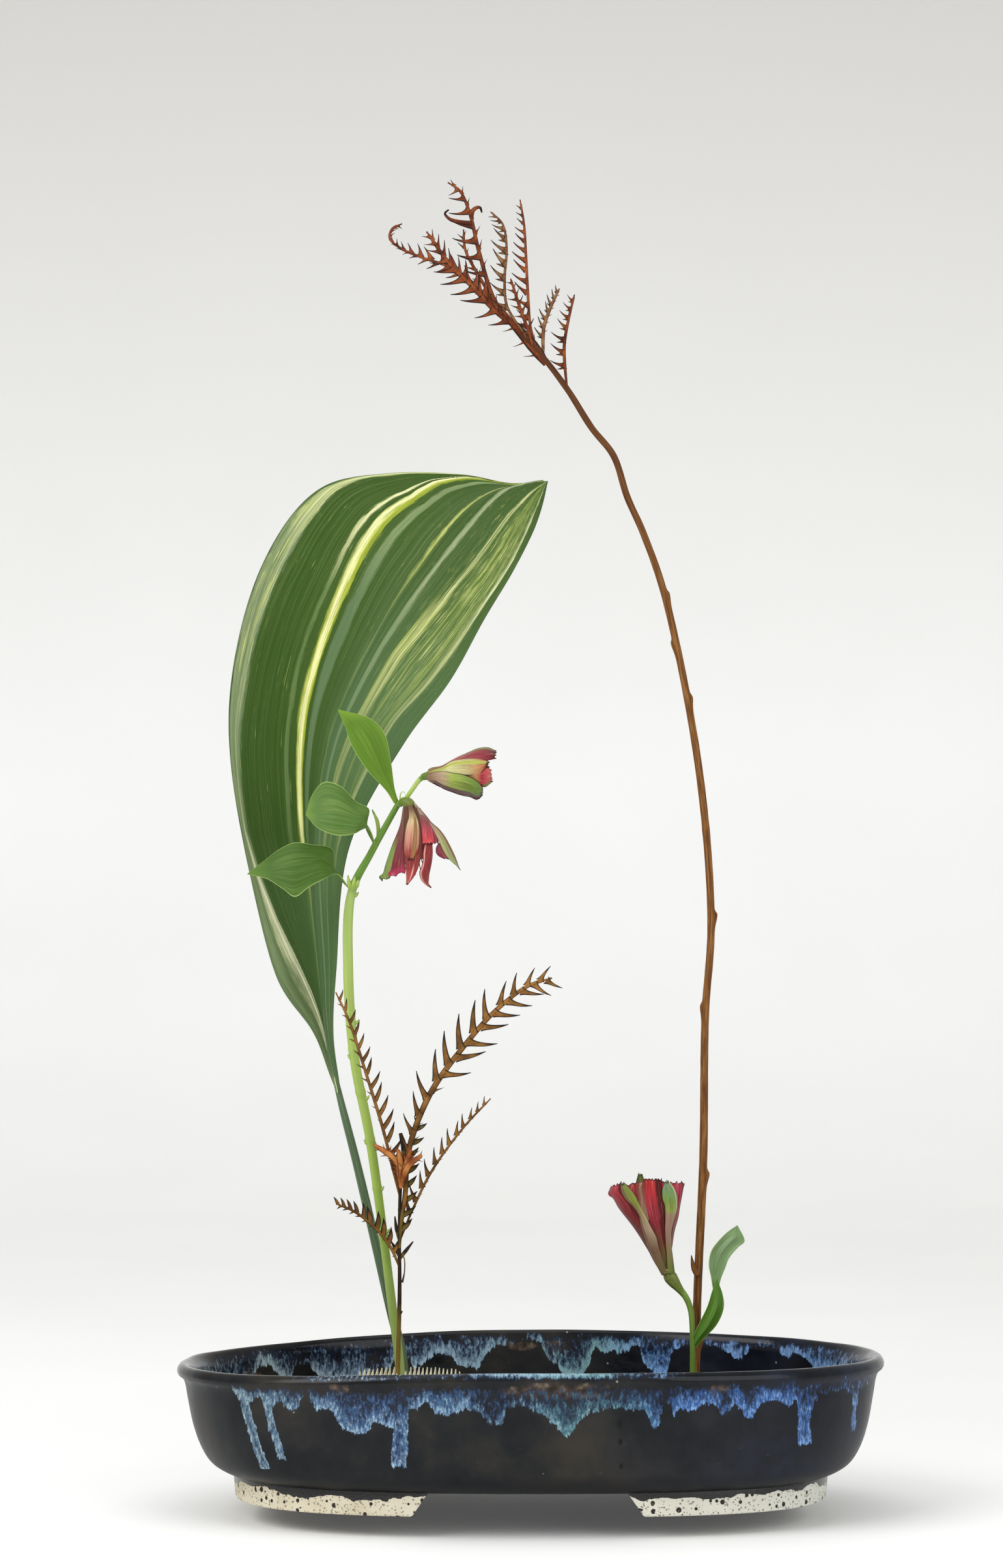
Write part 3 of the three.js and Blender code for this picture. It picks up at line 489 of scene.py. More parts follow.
# Strength of the pale glaze on the front of the rim itself
RIM_RUN = [(-178, 0), (-118, 0), (-100, 0.4), (-78, 0.4), (-60, 0.25), (-40, 0.2), (-30, 0.5),
           (-15, 0.8), (-6, 0.9), (0, 1), (34, 1), (38, 0.4), (60, 0.35), (75, 0), (178, 0)]
# Patches where the glaze broke brown: place, height, half length and half height
OUTER_BROWN = [(12, 60.5, 26, 4.5), (-91.5, 60.5, 5, 2.5), (88, 60, 6, 3)]
INNER_BROWN = [(-5, 60.5, 10, 2.5), (14, 60.5, 8, 3), (172, 55, 11, 5), (-146, 49.5, 6, 3)]
# The squared distance, in half sizes, at which a patch has faded out
PATCH_END = 1.3
# Plain band under the rim: its lower edge on both sides, how ragged it is and how it fades
RIM_BAND = {"outer": 59.5, "inner": 63.5, "ragged": 2.6, "fade": 4}
# Levels on the wall between which the rim's own glaze begins, and between which it turns glossy
RIM_EDGE = (66, 67.5)
SHINY_FROM = (63, 66)
RIM_DEPTH = 2.5
DEEPEST_RUN = 30
LOWEST_RUN = 20
NO_RUN = -8
# How fast a drip's depth grows from its sides and its end, and how far it reaches into its run
DRIP_SIDES = 2.2
DRIP_END = 0.9
DRIP_OVERLAP = 4
DRIP_STRENGTH = 0.9


def run_values(edge, drips, x, height):
    """How far a point lies above the run's lower edge, drips included, and its strength."""
    places, heights, strengths = np.array(edge, float).T
    depth = height - np.interp(x, places, heights)
    flow = np.interp(x, places, strengths)
    for place, lean, half_width, top, bottom in drips:
        middle = place + lean * (top - height)
        from_side = (half_width - abs(x - middle)) * DRIP_SIDES
        inside = np.minimum(from_side, (height - bottom) * DRIP_END)
        inside = np.minimum(inside, top + DRIP_OVERLAP - height)
        flow = np.where((inside > depth) & (inside > 0), DRIP_STRENGTH, flow)
        depth = np.maximum(depth, inside)
    return np.clip(depth, NO_RUN, DEEPEST_RUN), flow


def brown_share(patches, x, height):
    """1 in the middle of a patch and 0 outside all of them."""
    reach = [((x - px) / length) ** 2 + ((height - pz) / tall) ** 2
             for px, pz, length, tall in patches]
    return np.clip(PATCH_END - np.min(reach, axis=0), 0, 1)


# %% Bowl body
BOWL_AROUND = 760
PROFILE_ROWS = 116
FLAT_ROW_SHARE = 0.12
FLAT_SLOPE = 0.02
profile_knots = [(radius, 0, height) for radius, height in OUTER_WALL + RIM_AND_INSIDE]
fine_profile = even_curve(profile_knots, PROFILE_ROWS * 4 + 1)[:, [0, 2]]


def spread_rows(points, rows, flat_share):
    """Rows that lie closer together where the profile isn't the flat floor or underside."""
    lengths = np.linalg.norm(np.diff(points, axis=0), axis=1)
    is_flat = abs(np.diff(points[:, 1])) < FLAT_SLOPE * lengths
    weights = np.concatenate([[0], np.cumsum(lengths * np.where(is_flat, flat_share, 1))])
    targets = np.linspace(0, weights[-1], rows + 1)
    return points_at(targets, weights, points)


profile = spread_rows(fine_profile, PROFILE_ROWS, FLAT_ROW_SHARE)
rim_row = int(profile[:, 1].argmax())


def row_of(v):
    return np.rint(v * PROFILE_ROWS).astype(int)


def bowl_place(u, v):
    radius, height = profile[row_of(v)].T
    turn = even_turns(u)
    wave = ripple(3, 5 * turn, 0.09 * height) * ripple(8, 9 * turn)
    wave = wave * smoothstep(radius, *WAVY_FROM) * WALL_WAVE
    height = height + WAVE_IN_HEIGHT * wave
    return on_oval(np.maximum(radius + wave - WALL_WAVE, 0), turn, height)


def bowl_marks(u, v, points):
    """Depth in the run, strength of the run, and brown share of each vertex."""
    x, y, height = points.T
    row = row_of(v)
    level = profile[row, 1]
    is_outside = row < rim_row
    front = run_values(FRONT_RUN, FRONT_DRIPS, x, height)
    behind = run_values(FRONT_RUN, FRONT_DRIPS[2:4], -x, height)
    inner_back = run_values(BACK_RUN, [], x, height)
    inner_front = run_values(BACK_RUN, [], -x, height)
    outer = [np.where(y < 0, a, b) for a, b in zip(front, behind)]
    inner = [np.where(y < 0, a, b) for a, b in zip(inner_front, inner_back)]
    depth, flow = (np.where(is_outside, a, b) for a, b in zip(outer, inner))
    band_low = np.where(is_outside, RIM_BAND["outer"], RIM_BAND["inner"])
    ragged = level + RIM_BAND["ragged"] * ripple(6, 0.21 * x, 0.47 * x)
    in_band = smoothstep(ragged, band_low, band_low + RIM_BAND["fade"])
    on_rim = smoothstep(level, *RIM_EDGE) * (y < 0)
    rim_flow = np.interp(x, *zip(*RIM_RUN)) * on_rim
    flow = np.maximum(flow * (1 - in_band), rim_flow)
    depth = np.where(on_rim > 0.5, RIM_DEPTH, np.where(height < LOWEST_RUN, NO_RUN, depth))
    brown = np.where(is_outside & (y < 0), brown_share(OUTER_BROWN, x, height),
                     np.where(~is_outside & (y > 0), brown_share(INNER_BROWN, x, height), 0))
    return depth, flow, brown


def shine(u, v, points):
    """1 on the rim and inside the bowl, 0 on the outer wall below the rim."""
    row = row_of(v)
    return np.where(row >= rim_row, 1, smoothstep(profile[row, 1], *SHINY_FROM))


bowl = shaped_grid(BOWL_AROUND, PROFILE_ROWS, bowl_place,
                   run=lambda *where: bowl_marks(*where)[0],
                   flow=lambda *where: bowl_marks(*where)[1],
                   brown=lambda *where: bowl_marks(*where)[2], inside=shine)

# %% [markdown]
# The glaze is a dark stoneware glaze, satin outside and glossy inside. It goes navy where it
# lies thick and brown where it lies thin. Where it ran, cobalt and white broke through in
# streaks that are brightest at the lower edge. The streaks are about 1.5 mm wide and stretched
# down the wall.

# %% Runny stoneware glaze
# Heights in mm at which the painted shade low on the wall begins and where it is darkest
SHADE_TOP = 20.5
SHADE_BLACK_FROM = 13.5
# Bubbles burst through the glaze and left three dark ovals: place, height and half width
BURST_BUBBLES = [(41.2, 45.3, 1.2), (41.5, 36.8, 1), (41.9, 25.1, 1)]
FRONT_WALL_Y = -113.5

glaze, add, feed = new_material("runny_stoneware_glaze", IOR=1.5, Specular_IOR_Level=0.2)
where, place = located(add, "Object")
run, flow, brown, inside = (add("Attribute", attribute_name=name).outputs["Fac"]
                            for name in ("run", "flow", "brown", "inside"))
along_bowl = add("MapRange", {"Value": place["X"], "From Min": -BOWL_HALF_LENGTH * MM,
                              "From Max": BOWL_HALF_LENGTH * MM})
mottle = add("TexNoise", {"Vector": where, "Scale": 24, "Detail": 7, "Roughness": 0.6})
fine_mottle = add("TexNoise", {"Vector": where, "Scale": 260, "Detail": 4})
body = add("ValToRGB", {"Fac": mottle},
           stops=[(0.34, "#08090d"), (0.46, "#15171a"), (0.56, "#242321"), (0.7, "#322e27")])
navy = add("ValToRGB", {"Fac": mottle},
           stops=[(0.34, "#070a11"), (0.5, "#12161e"), (0.62, "#1b2030"), (0.72, "#1c1d20")])
dark_glaze = painted(add, body, navy, along_bowl, 0.55, 0.85)
brown_tone = add("ValToRGB", {"Fac": fine_mottle},
                 stops=[(0.35, "#251e19"), (0.52, "#443830"), (0.68, "#6e6152")])
thin = wavering(add, brown, fine_mottle, 1.2)
broken_brown = painted(add, dark_glaze, brown_tone, thin, 0.25, 0.8)
# Painted shade: low on the wall, where it turns under above the foot, the glaze is painted nearly
# black
glaze_with_painted_shade = painted(add, broken_brown, "#06080d", place["Z"], SHADE_TOP * MM, SHADE_BLACK_FROM * MM,
                 0.85)

streak_place = add("VectorMath", {0: where, 1: (1, 1, 0.42)}, operation="MULTIPLY")
streaks = add("TexNoise", {"Vector": streak_place, "Scale": 620, "Detail": 5, "Roughness": 0.7})
broad = add("TexNoise", {"Vector": streak_place, "Scale": 170, "Detail": 4})
# The run's lower edge gets small teeth and big ones
toothed = wavering(add, run, streaks, 6)
depth = wavering(add, toothed, broad, 9)
share = add("MapRange", {"Value": depth, "From Min": -0.5, "From Max": 19.5})
fade = add("ValToRGB", {"Fac": share},
           stops=[(0, 0), (0.03, 0.9), (0.12, 0.92), (0.28, 0.64), (0.42, 0.46),
                  (0.78, 0.26), (1, 0.14)])
amount = add("Math", {0: fade, 1: flow}, operation="MULTIPLY")
broken = wavering(add, amount, streaks, 3)
streak_mask = add("MapRange", {"Value": broken, "From Min": 0.3, "From Max": 0.9})
haze_mask = add("MapRange", {"Value": broken, "From Max": 0.5, "To Max": 0.85})
has_run = add("MapRange", {"Value": amount, "From Min": 0.02, "From Max": 0.12})
run_mask = add("Math", {0: streak_mask, 1: has_run}, operation="MULTIPLY")
haze = add("Math", {0: haze_mask, 1: has_run}, operation="MULTIPLY")
hazy_ground = add("Mix", {0: haze, 6: glaze_with_painted_shade, 7: "#1b2b4a"})

blue = add("ValToRGB", {"Fac": along_bowl},
           stops=[(0.05, "#4a6470"), (0.18, "#42607c"), (0.3, "#3a5a84"), (0.45, "#3a5c7e"),
                  (0.55, "#3a636b"), (0.63, "#335a70"), (0.7, "#284f8c"), (0.93, "#30568e"),
                  (1, "#6d88a4")])
pale = add("ValToRGB", {"Fac": along_bowl},
           stops=[(0.05, "#a4b8ba"), (0.18, "#a0b8c4"), (0.3, "#a2bed2"), (0.5, "#8fafbe"),
                  (0.6, "#7aa2a8"), (0.7, "#7ba4da"), (0.93, "#85abdc"), (1, "#b3c6d2")])
pale_noise = add("TexNoise",
                 {"Vector": streak_place, "Scale": 900, "Detail": 4, "Roughness": 0.75})
near_edge = add("MapRange", {"Value": depth, "From Min": 9, "From Max": 0.5, "To Max": 0.12})
inner_pale = add("Math", {0: inside, 1: 0.15, 2: near_edge}, operation="MULTIPLY_ADD")
pale_share = add("Math", {0: pale_noise, 1: inner_pale}, operation="ADD")
run_colour = painted(add, blue, pale, pale_share, 0.54, 0.74)
run_over = add("Mix", {0: run_mask, 6: hazy_ground, 7: run_colour})
pinholes = add("TexVoronoi", {"Vector": where, "Scale": 75})
glaze_colour = painted(add, run_over, "#8e9088", pinholes, 0.05, 0.035, 0.8)
for x, height, half_width in BURST_BUBBLES:
    middle = Vector((x, FRONT_WALL_Y, height)) * MM
    from_bubble = add("VectorMath", {0: where, 1: middle}, operation="SUBTRACT")
    squashed = add("VectorMath", {0: from_bubble, 1: (1, 0.1, 0.6)}, operation="MULTIPLY")
    away = add("VectorMath", {0: squashed}, operation="LENGTH").outputs["Value"]
    glaze_colour = painted(add, glaze_colour, "#040506", away, 1.2 * half_width * MM,
                           0.8 * half_width * MM, 0.9)
satin = add("MapRange", {"Value": mottle, "From Min": 0.3, "From Max": 0.7, "To Min": 0.34,
                         "To Max": 0.52})
gloss = add("Math", {0: inside, 1: -0.28, 2: satin}, operation="MULTIPLY_ADD")
pits = add("TexNoise", {"Vector": where, "Scale": 70, "Detail": 3})
dents = add("Bump", {"Height": pits, "Strength": 0.3, "Distance": 0.001})
feed(Base_Color=glaze_colour, Roughness=gloss, Normal=dents)
settle(bowl, "bowl_body", glaze, ["bowl"], smooth_deg=60)

# %% [markdown]
# The foot is bare speckled clay in two bow-shaped pieces, one round each end, with a gap in the
# middle of both long sides. Each is a ring of four corners carried round the oval, and its
# edges are rounded with a Bevel modifier.

# %% Two feet
FOOT_OUTER = 147
FOOT_INNER = 135
# How far each foot ends from the bowl's middle, at the table and at the body
FOOT_ENDS = {"left": (57, 49.5), "right": (53, 45.5)}
FOOT_SUNK = 2.2
FOOT_SPLAY = 1.5
FOOT_THICKENING = 1
FOOT_BEVEL = 0.9
FOOT_STEPS = 150


def foot(side):
    at_table, at_body = FOOT_ENDS[side]
    top = FOOT_HEIGHT + FOOT_SUNK
    section = np.array([(FOOT_OUTER, 0), (FOOT_OUTER + FOOT_SPLAY, top),
                        (FOOT_INNER - FOOT_THICKENING, top), (FOOT_INNER, 0)], float)

    def at(corner, share):
        """A corner of the section, carried from the foot's front end to its back end."""
        radius, height = section[corner].T
        end = at_table + (at_body - at_table) * height / FOOT_HEIGHT
        exponent = FOOT_EXPONENT + (RIM_EXPONENT - FOOT_EXPONENT) * height / RIM_HEIGHT
        widest = np.arccos((end / radius) ** (exponent / 2))
        return on_oval(radius, widest * (2 * share - 1), height)

    def place(u, v):
        corner = np.rint(u * 4).astype(int) % 4
        row = np.rint(v * (FOOT_STEPS + 2)).astype(int)
        points = at(corner, np.clip(row - 1, 0, FOOT_STEPS) / FOOT_STEPS)
        for is_end, share in ((row == 0, 0.0), (row == FOOT_STEPS + 2, 1.0)):
            points[is_end] = at(np.arange(4), np.full(4, share)).mean(axis=0)
        return points * (-1 if side == "left" else 1, 1, 1)

    piece = shaped_grid(4, FOOT_STEPS + 2, place)
    round_edges(piece, FOOT_BEVEL, 3)
    return piece


# %% Bare speckled stoneware
# Dark specks, then fine brown dust: cells per metre, the channel that picks them, the share of
# cells left plain, the largest size in cells, strength and colour
SPECKS = [(330, "Red", 0.32, 0.46, 1, "#241d16"), (850, "Green", 0.2, 0.5, 0.75, "#5c5142")]
GLAZE_LINE = {"left": 8.2, "right": 8.5, "waver": 13}

clay, add, feed = new_material("bare_speckled_stoneware", Roughness=0.85, IOR=1.5)
where, place = located(add, "Object")
tone = add("TexNoise", {"Vector": where, "Scale": 60, "Detail": 5})
warm = add("ValToRGB", {"Fac": tone}, stops=[(0.35, "#c9bfa4"), (0.65, "#ddd5bf")])
clay_colour = painted(add, warm, "#d5d6cc", place["X"], -0.1, 0.15)
for scale, channel, left_plain, largest, strength, colour in SPECKS:
    cells = add("TexVoronoi", {"Vector": where, "Scale": scale})
    chance = add("SeparateColor", {"Color": cells.outputs["Color"]}).outputs[channel]
    size = add("MapRange", {"Value": chance, "From Min": left_plain, "To Max": largest})
    is_speck = add("Math", {0: cells.outputs["Distance"], 1: size}, operation="LESS_THAN")
    amount = add("Math", {0: is_speck, 1: strength}, operation="MULTIPLY")
    clay_colour = add("Mix", {0: amount, 6: clay_colour, 7: colour})
# The glaze ends in a wavy line a little above the table
line_noise = add("TexNoise", {"Vector": where, "Scale": 70, "Detail": 5})
height = wavering(add, place["Z"], line_noise, GLAZE_LINE["waver"] * MM)
line = add("MapRange", {"Value": place["X"], "From Min": -0.14, "From Max": 0.14,
                        "To Min": GLAZE_LINE["left"] * MM, "To Max": GLAZE_LINE["right"] * MM})
over_line = add("Math", {0: height, 1: line}, operation="GREATER_THAN")
clay_colour = add("Mix", {0: over_line, 6: clay_colour, 7: "#0d0c0c"})
grit = add("TexNoise", {"Vector": where, "Scale": 900, "Detail": 3})
grain = add("Bump", {"Height": grit, "Strength": 0.25, "Distance": 0.0006})
clay_gloss = add("MapRange", {"Value": over_line, "To Min": 0.85, "To Max": 0.25})
feed(Base_Color=clay_colour, Normal=grain, Roughness=clay_gloss)
for side in FOOT_ENDS:
    settle(foot(side), f"{side}_foot", clay, smooth_deg=35)

# %% [markdown]
# Shallow water covers the needle holders. It is one closed body that fills the inside of the
# bowl to its level and creeps up the wall a little.

# %% Water
WATER_HEIGHT = 44
WATER_SECTION = [(radius, WATER_HEIGHT) for radius in (0, 60, 120, 155, 160.2)] + [
    (161.6, 43.4), (160, 37.8), (157, 33.4), (152, 30), (146, 27.9), (139, 26.8), (70, 26.6),
    (0, 26.6)]


def water_place(u, v):
    row = np.rint(v * (len(WATER_SECTION) - 1)).astype(int)
    radius, height = np.array(WATER_SECTION, float)[row].T
    return on_oval(radius, even_turns(u), height)


water_body = shaped_grid(160, len(WATER_SECTION) - 1, water_place)
clear_water, add, feed = new_material("still_water", Base_Color="#3c4c4e", Roughness=0.03,
                                      IOR=1.33, Specular_IOR_Level=1.0, Alpha=0.3)
where = add("TexCoord").outputs["Object"]
swell = add("TexNoise", {"Vector": where, "Scale": 30, "Detail": 2})
surface = add("Bump", {"Height": swell, "Strength": 0.08, "Distance": 0.001})
feed(Normal=surface)
settle(water_body, "water_fill", clear_water, ["water"], smooth_deg=40)

# %% [markdown]
# A needle holder is a heavy lead disc set with rows of brass needles. The disc is a bevelled
# cylinder. One needle is a cone, copied to staggered rows with its own mesh each time.

# %% Needle holders
KENZAN = {"left": (-62, 50), "right": (82, -8)}
KENZAN_RADIUS = 29
KENZAN_BASE_HEIGHT = 11
KENZAN_BEVEL = 1.4
SEAT_GAP = 0.3
KENZAN_MARGIN = 2.4
KENZAN_FLOOR = FLOOR_HEIGHT + SEAT_GAP
NEEDLE_SPACING = 4.3
NEEDLE_ROW_SHARE = 0.866
NEEDLE_RADIUS = 0.7
NEEDLE_TIP_RADIUS = 0.3
NEEDLE_TIP = 53.2
NEEDLE_SUNK = 1
# Where stems stand on them, with their radii, so that no needle goes there
STEM_FEET = {"left": [(-65, 58, 2.7), (-67, 50, 2.6), (-68, 44, 1.3)],
             "right": [(83, -5, 2.2), (81, -13, 1.5)]}
STEM_CLEARANCE = 1.3
DISC_TOP = KENZAN_FLOOR + KENZAN_BASE_HEIGHT


def needle_holder(side):
    x, y = KENZAN[side]
    bpy.ops.object.select_all(action="DESELECT")
    bpy.ops.mesh.primitive_cylinder_add(
        vertices=96, radius=KENZAN_RADIUS * MM, depth=KENZAN_BASE_HEIGHT * MM,
        location=Vector((x, y, KENZAN_FLOOR + KENZAN_BASE_HEIGHT / 2)) * MM)
    base = bpy.context.object
    bpy.ops.object.transform_apply()
    round_edges(base, KENZAN_BEVEL, 4)
    height = NEEDLE_TIP - DISC_TOP + NEEDLE_SUNK
    bpy.ops.object.select_all(action="DESELECT")
    bpy.ops.mesh.primitive_cone_add(vertices=8, radius1=NEEDLE_RADIUS * MM,
                                    radius2=NEEDLE_TIP_RADIUS * MM, depth=height * MM)
    needle = bpy.context.object
    parts = [base]
    rows = int(KENZAN_RADIUS / NEEDLE_SPACING) + 1
    for row in range(-rows, rows + 1):
        for column in range(-rows - 1, rows + 2):
            px = (column + 0.5 * (row % 2)) * NEEDLE_SPACING
            py = row * NEEDLE_SPACING * NEEDLE_ROW_SHARE
            taken = any(math.hypot(x + px - sx, y + py - sy) < radius + STEM_CLEARANCE
                        for sx, sy, radius in STEM_FEET[side])
            if taken or math.hypot(px, py) > KENZAN_RADIUS - KENZAN_MARGIN:
                continue
            spot = Vector((x + px, y + py, DISC_TOP - NEEDLE_SUNK + height / 2)) * MM
            copy = new_object("needle", needle.data.copy())
            copy.data.transform(Matrix.Translation(spot))
            parts.append(copy)
    bpy.data.objects.remove(needle)
    print(side, "needle holder:", len(parts) - 1, "needles")
    return join(parts)


LEAD_UP_TO, BRASS_FROM = 37.8, 39.5
brass, add, feed = new_material("worn_brass_needles_painted_glint", Metallic=0.05)
where, place = located(add, "Object")
tarnish_and_glint = add("TexNoise", {"Vector": where, "Scale": 260, "Detail": 3})
# Painted highlight: the needles are coloured nearly white to stand in for the glints on their
# tips; the noise also varies their tarnish and roughness
glint_pale_needle_tone = add("ValToRGB", {"Fac": tarnish_and_glint},
                  stops=[(0.3, "#d6c99c"), (0.5, "#f6eed0"), (0.7, "#fdfaf0")])
# The disc below the needles is dull grey lead
brass_colour = painted(add, "#5b605d", glint_pale_needle_tone, place["Z"], LEAD_UP_TO * MM,
                       BRASS_FROM * MM)
brass_gloss = add("MapRange", {"Value": tarnish_and_glint, "From Min": 0.3, "From Max": 0.7,
                               "To Min": 0.45, "To Max": 0.25})
feed(Base_Color=brass_colour, Roughness=brass_gloss)
for side in KENZAN:
    node = f"{side}_needle_holder"
    settle(needle_holder(side), f"{side}_needles", brass, [node], smooth_deg=30)

# %% [markdown]
# The striped leaf is broad, waved along its left edge and channelled along the stalk. Its blade
# runs through cross lines of left edge, rib and right edge. Parallel veins start at the stalk
# and fan out to the upper edge, so the stripes follow a vein coordinate that is warped from the
# plain share of the width. The UV map keeps that coordinate.

# %% Striped leaf blade
LEAF_STALK = [(-65, 58, 37.9), (-66, 58, 58), (-73, 58, 88), (-90, 56, 160), (-99, 55, 195),
              (-105, 54, 222), (-109, 52, 258)]
LEAF_CROSS_LINES = [
    [(-100.5, 54, 197), (-99.5, 53, 197), (-98.5, 54, 197)],
    [(-113, 50, 228), (-106, 54, 227), (-102, 44, 227)],
    [(-131, 46, 259), (-109, 52, 261), (-100, 32, 261)],
    [(-149, 41, 326), (-112, 50, 325), (-93, 24, 324)],
    [(-157, 45, 402), (-104, 51, 385), (-65, 27, 378)],
    [(-141, 64, 478), (-82, 57, 437), (-41, 32, 412)],
    [(-112, 86, 520), (-57, 61, 479), (-24, 39, 443)],
    [(-75, 97, 529.5), (-35, 62, 502), (-8, 45, 470)],
    [(-35, 90, 528), (-16, 60, 514), (3, 49, 493)],
    [(-8, 70, 520), (-2, 57, 518), (8, 53, 509)],
]
LEAF_TIP = (10, 55, 519)

# %% [markdown]
# The stripes follow the veins, which bunch at the stalk and run out into the upper edge. Seven
# guide veins say where that is: each has a number and its share of the half width at some
# places along the leaf. A vertex between two guides gets a number between theirs, and its UV
# map keeps that number, so in the material every stripe is a straight band.

# %% Guide veins
GUIDE_VEINS = {
    -0.9: [(0, 0), (0.07, -0.05), (0.126, -0.24), (0.17, -0.37), (0.2, -0.485), (0.246, -0.75),
           (0.28, -0.886), (0.31, -0.94), (0.37, -0.925), (0.41, -0.89), (0.52, -0.867),
           (0.573, -0.89), (0.627, -0.94), (0.67, -0.97), (1, -0.985)],
    -0.4: [(0, 0), (0.07, -0.02), (0.17, -0.04), (0.27, -0.09), (0.31, -0.19), (0.366, -0.26),
           (0.42, -0.317), (0.473, -0.36), (0.533, -0.4), (0.58, -0.453), (0.64, -0.523),
           (0.686, -0.59), (0.72, -0.685), (0.74, -0.76), (0.8, -0.9), (1, -0.94)],
    0.0: [(0, 0.02), (0.4, 0.0), (0.53, 0.02), (0.6, 0.04), (0.65, 0.01), (0.72, -0.05),
          (0.793, -0.14), (0.85, -0.22), (1, -0.25)],
    0.45: [(0, 0.5), (0.2, 0.4), (0.31, 0.24), (0.37, 0.25), (0.433, 0.315), (0.493, 0.335),
           (0.533, 0.41), (0.58, 0.478), (0.653, 0.506), (0.713, 0.478), (0.78, 0.43), (1, 0.4)],
    1.0: [(0, 0.9), (0.3, 0.65), (0.426, 0.716), (0.473, 0.8), (0.546, 0.868), (0.6, 0.897),
          (0.653, 0.916), (0.713, 0.916), (0.773, 0.878), (0.826, 0.84), (1, 0.8)],
}
FIRST_VEIN, LAST_VEIN = -1.0, 1.25
# Relief in mm: furrows between the veins, the sunk rib, broad waves and the curled left edge
FURROW_DEPTH = 0.14
FURROWS = 15
RIB_DEPTH = 0.8
RIB_HALF_WIDTH = 0.05
WAVE_HEIGHT = 1.3
CURL_HEIGHT = 3
# Shares of the length, then of the half width, between which these set in
RELIEF_FROM = (0.02, 0.15)
FURROWS_FROM = (0.3, 0.5)
WAVES_FROM = (0.2, 0.5)
WAVY_MARGIN = (0.4, 1)
CURLED_MARGIN = (0.55, 1)
# Shares of the length: the curl fades between the first two, and the relief ends at the last
CURL_FADES = (0.36, 0.2)
RELIEF_END = 0.985


def vein_number(across, share):
    """The number of the vein that passes a point of the blade."""
    numbers = [FIRST_VEIN, *GUIDE_VEINS, LAST_VEIN]
    places = [np.full_like(share, -1.0)]
    places += [np.interp(share, *zip(*guide)) for guide in GUIDE_VEINS.values()]
    places += [np.full_like(share, 1.0)]
    vein = np.full_like(share, FIRST_VEIN)
    for low, high, start, end in zip(numbers, numbers[1:], places, places[1:]):
        part = (across - start) / np.maximum(end - start, 0.002)
        vein = np.where(across > start, low + (high - low) * np.clip(part, 0, 1), vein)
    return vein


def leaf_relief(across, share):
    vein = vein_number(across, share)
    furrows = FURROW_DEPTH * np.cos(2 * np.pi * FURROWS * vein)
    furrows = furrows * smoothstep(share, *FURROWS_FROM)
    rib = -RIB_DEPTH * np.exp(-((across / RIB_HALF_WIDTH) ** 2)) * (1 - share) ** 0.7
    fade = smoothstep(share, *RELIEF_FROM) * (share < RELIEF_END)
    waves = WAVE_HEIGHT * ripple(2, 9 * share) * smoothstep(abs(across), *WAVY_MARGIN)
    near_edge = smoothstep(-across, *CURLED_MARGIN) * smoothstep(share, *CURL_FADES)
    curl = CURL_HEIGHT * np.sin(26 * share) * near_edge
    return fade * (furrows + rib + waves * smoothstep(share, *WAVES_FROM) + curl)


def read_uv(piece):
    flat = np.empty(2 * len(piece.data.loops))
    piece.data.uv_layers.active.data.foreach_get("uv", flat)
    return flat.reshape(-1, 2).T


def write_uv(piece, u, v):
    piece.data.uv_layers.active.data.foreach_set("uv", np.stack([u, v], 1).ravel())


leaf = blade(LEAF_CROSS_LINES, LEAF_TIP, 170, 200, (5, 3), 0.5, leaf_relief)
u, v = read_uv(leaf)
vein_share = (vein_number(2 * u - 1, v) - FIRST_VEIN) / (LAST_VEIN - FIRST_VEIN)
write_uv(leaf, vein_share, v)
print("veins counted from", vein_share.min().round(2), "to", vein_share.max().round(2))

# %% [markdown]
# A variegated leaf has pale stripes where the tissue lacks green. Colour ramps across the veins
# hold the stripes, one pair for the foot of the leaf, one for its middle and one for its top.
# Noise stretched along the veins frays each stripe into threads. The skin is waxy and smooth.

# %% Variegated waxy leaf
def bands(*stripes):
    """Ramp stops from vein numbers."""
    return [((vein - FIRST_VEIN) / (LAST_VEIN - FIRST_VEIN), value) for vein, value in stripes]


